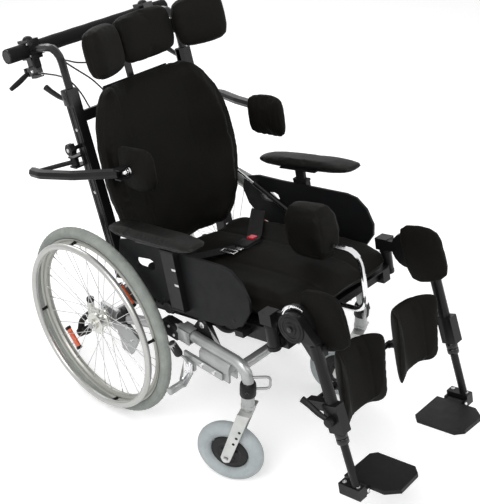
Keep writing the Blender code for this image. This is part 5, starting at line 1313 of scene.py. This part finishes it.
def clamp_fittings(side, word):
    """Dome on the bar's clamp, its screws, the lever housing's ferrule and boot."""
    bm = bmesh.new()
    screws(bm, BACK, (0, 0, 1), [(side * BAR_TUBE_X, BAR_PLACE[1], 0.6998)], 0.0150, 0.0105, "dome")
    finish_mesh(f"clamp_dome_{word}", bm, BLACK_PLASTIC, "push_bar")
    bm = bmesh.new()
    spots = [(side * 0.2368, u, w) for u in (0.120, 0.160) for w in (0.656, 0.690)]
    screws(bm, BACK, (side, 0, 0), spots, 0.0036, 0.0024)
    screws(bm, BACK, (0, -1, 0), [(side * 0.249, 0.1180, 0.614)], 0.0042, 0.0026)
    finish_mesh(f"clamp_screws_{word}", bm, STEEL, "push_bar")
    bm = bmesh.new()
    run = ((0.226, 0.1192, 0.6045), (0.226, 0.112, 0.603), (0.2257, 0.104, 0.602))
    sweep(bm, [BACK @ Vector((side * x, u, w)) for x, u, w in run], 0.0046, 14)
    finish_mesh(f"cable_ferrule_{word}", bm, CHROME, "push_bar", degrees=50)
    bm = bmesh.new()
    outline = [(0.1160, 0.622), (0.1160, 0.650), (0.1440, 0.650),
               (0.1440, 0.622), (0.1380, 0.612), (0.1220, 0.612)]
    slab(bm, outline, side * 0.2105, side * 0.2330, "X", BACK, 0.0035)
    finish_mesh(f"lever_house_{word}", bm, BLACK_PLASTIC, "push_bar")


def lever_skin(side, word):
    """Finger-shaped blade over the release lever."""
    bm = bmesh.new()
    spots = ((0.256, 0.130, 0.611), (0.272, 0.130, 0.6045), (0.290, 0.130, 0.597), (0.308, 0.130, 0.5905),
             (0.3235, 0.130, 0.5852))
    side_path(bm, BACK, side, spots, 5,
              lambda t: 0.0062 + 0.0016 * math.sin(math.pi * min(1.0, t * 1.05)), 16, 0.80)
    finish_mesh(f"lever_blade_{word}", bm, BLACK_PLASTIC, f"hand_lever_{word}", degrees=50)


def post_fittings(side, word):
    """Ridges, cam lever, star knob and screws of one back post."""
    bm = bmesh.new()
    for u in (-0.0060, 0.0125):
        path = [BACK @ Vector((side * 0.2330, u, w)) for w in (0.030, 0.120, 0.300, 0.420, 0.500)]
        sweep(bm, path, 0.0021, 10)
    finish_mesh(f"post_ridges_{word}", bm, GLOSS_BLACK, "back", degrees=60)
    bm = bmesh.new()
    block(bm, (side * 0.2040, 0.0020, 0.506), (side * 0.2362, 0.0282, 0.553), BACK, 0.0040)
    spots = ((0.226, 0.026, 0.524), (0.2275, 0.050, 0.532), (0.2285, 0.076, 0.546), (0.2288, 0.103, 0.563))
    side_path(bm, BACK, side, spots, 6, lambda t: 0.0062 + 0.0030 * t * t, 16, 0.70)
    screws(bm, BACK, (side, 0, 0), [(side * 0.2360, 0.015, 0.530)], 0.0068, 0.0035, "dome")
    finish_mesh(f"cam_lever_{word}", bm, GLOSS_BLACK, "back", degrees=50)
    knob_w = LATERAL_HEIGHTS[word] + STAR_KNOB_LIFT
    outline = []
    for k in range(72):
        angle = 2 * math.pi * k / 72
        r = 0.0156 + 0.0030 * math.cos(6 * angle)
        outline.append((0.004 + r * math.cos(angle), knob_w + r * math.sin(angle)))
    bm = bmesh.new()
    slab(bm, outline, side * 0.2612, side * 0.2786, "X", BACK, 0.0028)
    finish_mesh(f"star_knob_{word}", bm, BLACK_PLASTIC, "back", degrees=50)
    bm = bmesh.new()
    screws(bm, BACK, (side, 0, 0), [(side * 0.2784, 0.004, knob_w)], 0.0066, 0.0034, "hex")
    spots = [(side * 0.2330, 0.0032, w) for w in (0.437, 0.250, 0.080)]
    screws(bm, BACK, (side, 0, 0), spots, 0.0048, 0.0024)
    finish_mesh(f"post_screws_{word}", bm, STEEL, "back")


push_bar_grips()
for side, word in SIDES:
    for make in (clamp_fittings, lever_skin, post_fittings):
        make(side, word)


# Back shell and headrest bracket

def shell_fittings():
    """Screws of the shell and bracket, the headrest's knob and the wings' hinge caps."""
    bm = bmesh.new()
    spots = [(x, 0.0006, w) for w in (0.115, 0.470) for x in (-0.150, -0.060, 0.060, 0.150)]
    screws(bm, BACK, (0, 1, 0), spots, 0.0058, 0.0030)
    spots = [(x, 0.0186, w) for x in (-0.012, 0.012) for w in (0.432, 0.508)]
    screws(bm, BACK, (0, 1, 0), spots, 0.0036, 0.0026)
    finish_mesh("shell_screws", bm, STEEL, "back")
    profile = [(0.0060, 0.0), (0.0060, 0.0130), (0.0170, 0.0135), (0.0190, 0.0160), (0.0190, 0.0230),
               (0.0160, 0.0262)]
    knob = BACK @ Matrix.Translation((0.0, 0.0185, 0.470))
    turned("headrest_knob", profile, 30, knob, BLACK_PLASTIC, "back", axis="Y")
    bm = bmesh.new()
    x, u, _ = HEAD_HINGE
    for side, _ in SIDES:
        for w, way in ((0.6688, 1), (0.6112, -1)):
            screws(bm, BACK, (0, 0, way), [(side * x, u, w)], 0.0058, 0.0028, "dome")
    finish_mesh("wing_hinge_caps", bm, STEEL, "headrest")


shell_fittings()


# Chassis fittings

BRAKE = {
    word: Matrix.Translation((side * BRAKE_PIVOT[0], AXLE_Y + BRAKE_PIVOT[1], BRAKE_PIVOT[2]))
    for side, word in SIDES
}
RAIL_X = SWIVEL_X
SLEEVE_Z = (0.3236, 0.3622)


def castor_housing(side, word):
    """Black sleeve over the bend's end, its screw, and the collar below."""
    place = Matrix.Translation((side * RAIL_X, CASTOR_Y, 0.0))
    low, high = SLEEVE_Z
    profile = [(0.0150, low), (0.0218, low), (0.0228, low + 0.0015), (0.0230, low + 0.018),
               (0.0226, high - 0.003), (0.0205, high + 0.0025), (0.0175, high + 0.0055),
               (0.0158, high + 0.0065), (0.0150, high)]
    turned(f"housing_sleeve_{word}", profile, 40, place, BLACK_PLASTIC, "base", closed=True, axis="Z")
    bm = bmesh.new()
    outward = Vector((side * 0.8, -0.6, 0)).normalized()
    screw(bm, Vector((side * RAIL_X, CASTOR_Y, 0.346)) + outward * 0.0222, outward, 0.0050, 0.0030)
    finish_mesh(f"housing_screw_{word}", bm, GLOSS_BLACK, "base")
    profile = [(0.0150, 0.2752), (0.0188, 0.2752), (0.0197, 0.2764),
               (0.0197, 0.2890), (0.0190, 0.2902), (0.0150, 0.2904)]
    turned(f"housing_collar_{word}", profile, 40, place, SILVER, "base", closed=True, axis="Z")


def rail_connector(side, word):
    """Open-ended square sleeve round the rail's knee and the black block behind it."""
    y0, y1 = AXLE_Y - 0.366, AXLE_Y - 0.322
    x0, x1, z0, z1, wall = 0.2325, 0.2715, 0.3905, 0.4345, 0.0030
    bm = bmesh.new()
    side_blocks(bm, side, (
        ((x0, y0, z1 - wall), (x1, y1, z1)), ((x0, y0, z0), (x1, y1, z0 + wall)),
        ((x0, y0, z0), (x0 + wall, y1, z1)), ((x1 - wall, y0, z0), (x1, y1, z1)),
    ), None, 0.0009)
    finish_mesh(f"rail_connector_{word}", bm, SILVER, "base")
    bm = bmesh.new()
    body = ((0.2352, AXLE_Y - 0.316, 0.3780), (0.2690, AXLE_Y - 0.250, 0.4250))
    cap = ((0.2375, AXLE_Y - 0.308, 0.4240), (0.2560, AXLE_Y - 0.262, 0.4290))
    side_blocks(bm, side, (body,), None, 0.0050)
    side_blocks(bm, side, (cap,), None, 0.0018)
    finish_mesh(f"rail_block_{word}", bm, BLACK_PLASTIC, "base")
    bm = bmesh.new()
    out = (side, 0, 0)
    spots = [(side * 0.2688, AXLE_Y + y, z) for y, z in ((-0.303, 0.395), (-0.264, 0.395), (-0.283, 0.416))]
    screws(bm, Matrix(), out, spots, 0.0048, 0.0026)
    screw(bm, (side * 0.2398, SEAT_PIVOT[1], SEAT_PIVOT[2]), out, 0.0105, 0.0060, "hex")
    spots = [(side * 0.2780, AXLE_Y + y, 0.357) for y in (-0.421, -0.469)]
    screws(bm, Matrix(), out, spots, 0.0062, 0.0042, "hex")
    finish_mesh(f"rail_bolts_{word}", bm, STEEL, "base")


def brake_channel(side, word):
    """Rounded half tube over the channel that carries the brake bar."""
    angles = [math.pi / 2 * (1 - k / 8) for k in range(9)]

    def corner(radius):
        return [(0.2625 + radius * math.cos(angle), 0.3935 + radius * math.sin(angle)) for angle in angles]

    outline = [(0.2352, 0.4060), *corner(0.0125), (0.2750, 0.3712),
               (0.2725, 0.3712), *corner(0.0100)[::-1], (0.2352, 0.4035)]
    bm = bmesh.new()
    points = [(side * x, z) for x, z in outline]
    slab(bm, points, AXLE_Y - 0.5215, AXLE_Y - 0.4085, "Y", None, 0.0006)
    finish_mesh(f"brake_channel_{word}", bm, SILVER, "base", degrees=30)


def brake_fittings(side, word):
    """Rubber grip, steel plate with its screws, and the roller that presses on the tyre."""
    matrix = BRAKE[word]
    bm = bmesh.new()
    start, end = Vector((side * 0.0215, 0.0130, 0.0345)), Vector((side * 0.0392, 0.0280, 0.0842))
    path = [matrix @ start.lerp(end, k / 14) for k in range(15)]

    def girth(t):
        return 0.0130 * min(1.0, math.sqrt(max(0.03, 1 - (2 * t - 1) ** 8))) - 0.0015 * t

    sweep(bm, path, girth, 20)
    finish_mesh(f"brake_grip_{word}", bm, BLACK_RUBBER, f"parking_brake_{word}", degrees=60)
    bm = bmesh.new()
    outline = [(-0.0165, 0.0115), (0.0120, 0.0165), (0.0345, -0.0700),
               (0.0300, -0.0850), (0.0220, -0.0860), (-0.0140, -0.0270)]
    slab(bm, outline, side * 0.0046, side * 0.0062, "X", matrix, 0.0006)
    block(bm, (side * 0.0046, -0.0186, -0.0200), (side * 0.0130, -0.0160, 0.0120), matrix, 0.0008)
    for y, z, radius, style in ((0.0, 0.0, 0.0062, "hex"), (0.0080, -0.0300, 0.0042, "dome"),
                                (-0.0060, -0.0220, 0.0036, "dome"), (0.0220, -0.0620, 0.0042, "dome")):
        screws(bm, matrix, (side, 0, 0), [(side * 0.0060, y, z)], radius, 0.0032, style)
    finish_mesh(f"brake_plate_{word}", bm, CHROME, f"parking_brake_{word}")
    place = matrix @ Matrix.Translation((0, 0.026, -0.084))
    profile = [(0.0040, 0.0062), (0.0105, 0.0062), (0.0114, 0.0074), (0.0114, 0.0530),
               (0.0106, 0.0545), (0.0074, 0.0549), (0.0070, 0.0530), (0.0040, 0.0526)]
    turned(f"brake_roller_{word}", mirrored(side, profile), 28, place, SILVER, f"parking_brake_{word}",
           closed=True)


def axle_fittings(side, word):
    """Bolts of the axle plate, the clamp on the rail's end, the locking plunger and its black arm."""
    bm = bmesh.new()
    for y, z in ((0.022, 0.328), (0.022, 0.282), (-0.080, 0.300), (-0.100, 0.262), (-0.076, 0.226)):
        for x, way in ((0.2578, side), (0.2462, -side)):
            screw(bm, (side * x, AXLE_Y + y, z), (way, 0, 0), 0.0052, 0.0030, "hex")
    finish_mesh(f"axle_bolts_{word}", bm, STEEL, "base")
    bm = bmesh.new()
    slope = Matrix.Translation((side * RAIL_X, AXLE_Y - 0.072, 0.3301)) @ Matrix.Rotation(-0.336, 4, "X")
    profile = [(0.0160, -0.020), (0.0188, -0.020), (0.0197, -0.018),
               (0.0197, 0.018), (0.0188, 0.020), (0.0160, 0.020)]
    lathe(bm, profile, 32, slope, closed=True, axis="Y")
    block(bm, (side * 0.2440, AXLE_Y - 0.086, 0.3440), (side * 0.2600, AXLE_Y - 0.058, 0.3640), None, 0.0040)
    finish_mesh(f"rail_clamp_{word}", bm, BLACK_PLASTIC, "base", degrees=45)

    def behind(*points):
        return [(side * RAIL_X, AXLE_Y + y, z) for y, z in points]

    bm = bmesh.new()
    sweep(bm, behind((0.030, 0.300), (0.060, 0.292), (0.092, 0.284)), 0.0075, 14)
    place = Matrix.Translation((side * RAIL_X, AXLE_Y + 0.094, 0.0))
    profile = [(0.0060, 0.256), (0.0102, 0.256), (0.0112, 0.258), (0.0112, 0.304),
               (0.0102, 0.306), (0.0102, 0.312), (0.0060, 0.312)]
    lathe(bm, profile, 28, place, axis="Z")
    finish_mesh(f"plunger_{word}", bm, HUB_METAL, "base", degrees=45)
    bm = bmesh.new()
    profile = [(0.0050, 0.3122), (0.0116, 0.3122), (0.0122, 0.3140),
               (0.0122, 0.3230), (0.0104, 0.3256), (0.0050, 0.3262)]
    lathe(bm, profile, 20, place, axis="Z")
    curve = curve_through(behind((0.098, 0.262), (0.125, 0.238), (0.150, 0.205), (0.158, 0.168)), 6)
    sweep(bm, curve, lambda t: 0.0120 - 0.0025 * math.sin(math.pi * t), 16)
    profile = [(0.0100, -0.0110), (0.0132, -0.0100), (0.0140, -0.0060),
               (0.0140, 0.0060), (0.0132, 0.0100), (0.0100, 0.0110)]
    for spot in behind((0.158, 0.160), (0.128, 0.182)):
        lathe(bm, profile, 26, Matrix.Translation(spot), axis="X")
    finish_mesh(f"plunger_arm_{word}", bm, BLACK_PLASTIC, "base", degrees=45)


for side, word in SIDES:
    for make in (castor_housing, rail_connector, brake_channel, brake_fittings, axle_fittings):
        make(side, word)


# Seat fittings

def seat_fittings(side, word):
    """Pins and knob of the armrest post, the panel's screws and the receiver's cap."""
    bm = bmesh.new()
    side_blocks(bm, side, [((0.2838, 0.0120, z - 0.0036), (0.2856, 0.0280, z + 0.0036))
                           for z in (0.182, 0.136)], SEAT, 0.0008)
    finish_mesh(f"post_pins_{word}", bm, STEEL, "seat")
    bm = bmesh.new()
    spots = [(side * (PANEL_FACE - 0.0001), y, z) for y, z in ((-0.160, 0.062), (0.115, 0.066))]
    screws(bm, SEAT, (side, 0, 0), spots, 0.0050, 0.0020, "dome")
    profile = [(0.0060, 0.2642), (0.0150, 0.2646), (0.0172, 0.2662),
               (0.0172, 0.2738), (0.0150, 0.2762), (0.0060, 0.2766)]
    lathe(bm, mirrored(side, profile), 28, SEAT @ Matrix.Translation((0, 0.094, 0.046)))
    cap = SEAT @ Matrix.Translation((0, POST_Y, 0.0))
    for z0, z1 in ((0.0535, 0.0600), (0.2300, 0.2366)):
        side_blocks(bm, side, (
            ((0.2636, -0.0262, z0), (0.2662, 0.0262, z1)), ((0.2825, -0.0262, z0), (0.2858, 0.0262, z1)),
            ((POST_X[0], -0.0266, z0), (POST_X[1], -0.0238, z1)),
            ((POST_X[0], 0.0238, z0), (POST_X[1], 0.0266, z1)),
        ), cap, 0.0008)
    finish_mesh(f"post_trim_{word}", bm, BLACK_PLASTIC, "seat")
    bm = bmesh.new()
    place = SEAT @ Matrix.Translation((side * SWING_AXIS[0], SWING_AXIS[1], 0.0))
    profile = [(0.0112, -0.0010), (0.0172, -0.0010), (0.0180, 0.0004),
               (0.0180, 0.0090), (0.0166, 0.0100), (0.0112, 0.0100)]
    lathe(bm, profile, 32, place, closed=True, axis="Z")
    lathe(bm, [(r, 0.0752 - z) for r, z in profile], 32, place, closed=True, axis="Z")
    lever = ((0.232, -0.056, 0.012), (0.236, -0.080, 0.004), (0.240, -0.108, 0.006), (0.243, -0.134, 0.018))
    side_path(bm, SEAT, side, lever, 5, lambda t: 0.0105 - 0.0070 * t, 12, 0.6)
    finish_mesh(f"receiver_trim_{word}", bm, BLACK_PLASTIC, "seat", degrees=45)


for side, word in SIDES:
    seat_fittings(side, word)


# Legrest fittings

TEETH = 16
SECTOR_TURN = (30, 102)


def legrest_fittings(side, word):
    """Toothed chrome sector and hub cover of the knee hinge, the leg clamp's lever, the hook's head."""
    leg = LEG[word]
    x0 = KNEE[0]
    outline = []
    steps, start, span = TEETH * 4, *SECTOR_TURN
    for k in range(steps + 1):
        angle = math.radians(start + span * k / steps)
        r = 0.0508 + (0.0026 if k % 4 in (1, 2) else 0.0)
        outline.append((r * math.cos(angle), r * math.sin(angle)))
    for k in range(25):
        angle = math.radians(start + span - span * k / 24)
        outline.append((0.0450 * math.cos(angle), 0.0450 * math.sin(angle)))
    bm = bmesh.new()
    slab(bm, outline, side * (0.2378 - x0), side * (0.2412 - x0), "X", leg, 0.0005)
    finish_mesh(f"knee_teeth_{word}", bm, CHROME, f"legrest_{word}", degrees=35)
    face = 0.2618 - x0
    ridges = ((0.0050, 0.0), (0.0400, 0.0), (0.0408, 0.0010), (0.0400, 0.0024), (0.0362, 0.0030),
              (0.0350, 0.0016), (0.0318, 0.0016), (0.0306, 0.0032), (0.0268, 0.0034), (0.0256, 0.0018),
              (0.0180, 0.0018), (0.0165, 0.0040), (0.0050, 0.0046))
    profile = mirrored(side, [(r, face + rise) for r, rise in ridges])
    turned(f"knee_cover_{word}", profile, 48, leg, BLACK_PLASTIC, f"leg_{word}", 35)
    bm = bmesh.new()
    out = (side, 0, 0)
    screws(bm, leg, out, [(side * (face + 0.0040), 0, 0)], 0.0085, 0.0046, "hex")
    spots = [(side * 0.0140, -LEG_FORWARD, z) for z in (CLAMP_Z + 0.024, CLAMP_Z - 0.024)]
    screws(bm, leg, out, spots, 0.0050, 0.0030)
    finish_mesh(f"leg_bolts_{word}", bm, GLOSS_BLACK, f"leg_{word}")
    bm = bmesh.new()
    screws(bm, leg, out, [(side * (0.2412 - x0), 0.005, 0.0480)], 0.0050, 0.0030, "hex")
    finish_mesh(f"sector_bolt_{word}", bm, STEEL, f"legrest_{word}")
    bm = bmesh.new()
    knob = leg @ Matrix.Translation((0, -LEG_FORWARD, CLAMP_Z))
    profile = [(0.0060, 0.0150), (0.0125, 0.0155), (0.0135, 0.0170),
               (0.0135, 0.0320), (0.0120, 0.0350), (0.0060, 0.0356)]
    lathe(bm, mirrored(side, profile), 28, knob)
    lever = ((0.026, -0.050, -0.240), (0.031, -0.030, -0.222), (0.033, -0.008, -0.200),
             (0.033, 0.012, -0.186))
    side_path(bm, leg, side, lever, 5, lambda t: 0.0068 + 0.0022 * t, 14, 0.65)
    finish_mesh(f"leg_lever_{word}", bm, BLACK_PLASTIC, f"leg_{word}", degrees=45)


def footplate_fittings(side, word):
    """Bolts of the footplate's hinge block and the collars at the end of the outer tube."""
    foot = local(LEG[word], (side * (FOOT_HINGE[0] - KNEE[0]), *FOOT_HINGE[1:]), tilt=LEG_ANGLE)
    bm = bmesh.new()
    screws(bm, foot, (0, 0, 1), [(side * 0.0240, y, 0.0198) for y in (-0.022, 0.022)], 0.0058, 0.0034)
    for way in (-1, 1):
        screws(bm, foot, (0, way, 0), [(0, way * 0.0342, 0)], 0.0058, 0.0030, "dome")
    finish_mesh(f"foot_bolts_{word}", bm, STEEL, f"foot_{word}")
    bm = bmesh.new()
    profile = [(0.0128, -0.0150), (0.0158, -0.0150), (0.0166, -0.0138),
               (0.0166, -0.0012), (0.0158, 0.0), (0.0128, 0.0)]
    for z in (-0.287, -0.304):
        ring = Matrix.Translation((0, -LEG_FORWARD, z))
        lathe(bm, profile, 28, LEG[word] @ ring, closed=True, axis="Z")
    finish_mesh(f"leg_collars_{word}", bm, GLOSS_BLACK, f"leg_{word}", degrees=45)


for side, word in SIDES:
    legrest_fittings(side, word)
    footplate_fittings(side, word)


# Floor, light and camera

FLOOR_HALF = 9.0
FLOOR_Z = -0.0006
FLOOR_GLOW = 0.32
WORLD_LIGHT = 0.55
LAMPS = (
    ("key", (-2.6, -1.2, 3.4), (0.0, -0.1, 0.5), (2.2, 2.2), 95),
    ("fill", (1.8, -3.2, 2.0), (0.0, -0.1, 0.4), (2.4, 1.8), 40),
    ("rear", (0.8, 3.0, 2.6), (0.0, 0.1, 0.6), (2.4, 1.6), 38),
)
CAMERA_PLACE = (-1.786, -1.6283, 2.1039)
CAMERA_DOWN = 32.41
CAMERA_ROUND = 46.81
CAMERA_LENS = 75.02


def seen_directly(nodes, links):
    """1 for rays from the camera, reflections and see-through surfaces, 0 for rays that light things."""
    path = nodes.new("ShaderNodeLightPath")
    seen = path.outputs["Is Camera Ray"]
    for other in ("Is Glossy Ray", "Is Transmission Ray"):
        either = nodes.new("ShaderNodeMath")
        either.operation = "MAXIMUM"
        links.new(seen, either.inputs[0])
        links.new(path.outputs[other], either.inputs[1])
        seen = either.outputs[0]
    return seen


def stage():
    """A white floor that glows a little where it is seen, so that it meets the white world."""
    bm = bmesh.new()
    bmesh.ops.create_grid(bm, x_segments=8, y_segments=8, size=FLOOR_HALF)
    mesh = bpy.data.meshes.new("floor")
    bm.to_mesh(mesh)
    bm.free()
    floor = bpy.data.objects.new("floor", mesh)
    bpy.context.scene.collection.objects.link(floor)
    floor.location.z = FLOOR_Z
    material = bpy.data.materials.new("floor_white")
    nodes, links = node_group(material)
    shader = nodes["Principled BSDF"]
    shader.inputs["Base Color"].default_value = (0.90, 0.90, 0.90, 1.0)
    shader.inputs["Roughness"].default_value = 0.9
    glow = nodes.new("ShaderNodeEmission")
    glow.inputs["Color"].default_value = (1.0, 1.0, 1.0, 1.0)
    level = nodes.new("ShaderNodeMath")
    level.operation = "MULTIPLY"
    level.inputs[1].default_value = FLOOR_GLOW
    links.new(seen_directly(nodes, links), level.inputs[0])
    links.new(level.outputs[0], glow.inputs["Strength"])
    add = nodes.new("ShaderNodeAddShader")
    links.new(shader.outputs["BSDF"], add.inputs[0])
    links.new(glow.outputs["Emission"], add.inputs[1])
    links.new(add.outputs["Shader"], nodes["Material Output"].inputs["Surface"])
    mesh.materials.append(material)


def lamp(name, place, target, size, power):
    """An area lamp that looks at a target."""
    data = bpy.data.lights.new(name, "AREA")
    data.shape = "RECTANGLE"
    data.size, data.size_y = size
    data.energy = power
    obj = bpy.data.objects.new(name, data)
    bpy.context.scene.collection.objects.link(obj)
    obj.location = place
    direction = Vector(target) - Vector(place)
    obj.rotation_euler = direction.to_track_quat("-Z", "Y").to_euler()


def light():
    """White world where it is seen, softer as a light, and three lamps."""
    world = bpy.data.worlds.new("studio")
    bpy.context.scene.world = world
    world.use_nodes = True
    nodes, links = world.node_tree.nodes, world.node_tree.links
    sky = nodes["Background"]
    sky.inputs["Color"].default_value = (1.0, 1.0, 1.0, 1.0)
    pick = nodes.new("ShaderNodeMapRange")
    pick.inputs["To Min"].default_value = WORLD_LIGHT
    pick.inputs["To Max"].default_value = 1.0
    links.new(seen_directly(nodes, links), pick.inputs["Value"])
    links.new(pick.outputs["Result"], sky.inputs["Strength"])
    for settings in LAMPS:
        lamp(*settings)


def camera():
    """The photograph's view, as fitted."""
    data = bpy.data.cameras.new("view")
    data.sensor_fit = "HORIZONTAL"
    data.sensor_width = 36.0
    data.lens = CAMERA_LENS
    data.clip_start = 0.05
    obj = bpy.data.objects.new("view", data)
    bpy.context.scene.collection.objects.link(obj)
    obj.location = CAMERA_PLACE
    obj.rotation_euler = (math.radians(90.0 - CAMERA_DOWN), 0.0, math.radians(-CAMERA_ROUND))
    bpy.context.scene.camera = obj


stage()
light()
camera()
bpy.context.scene.view_settings.view_transform = "Standard"
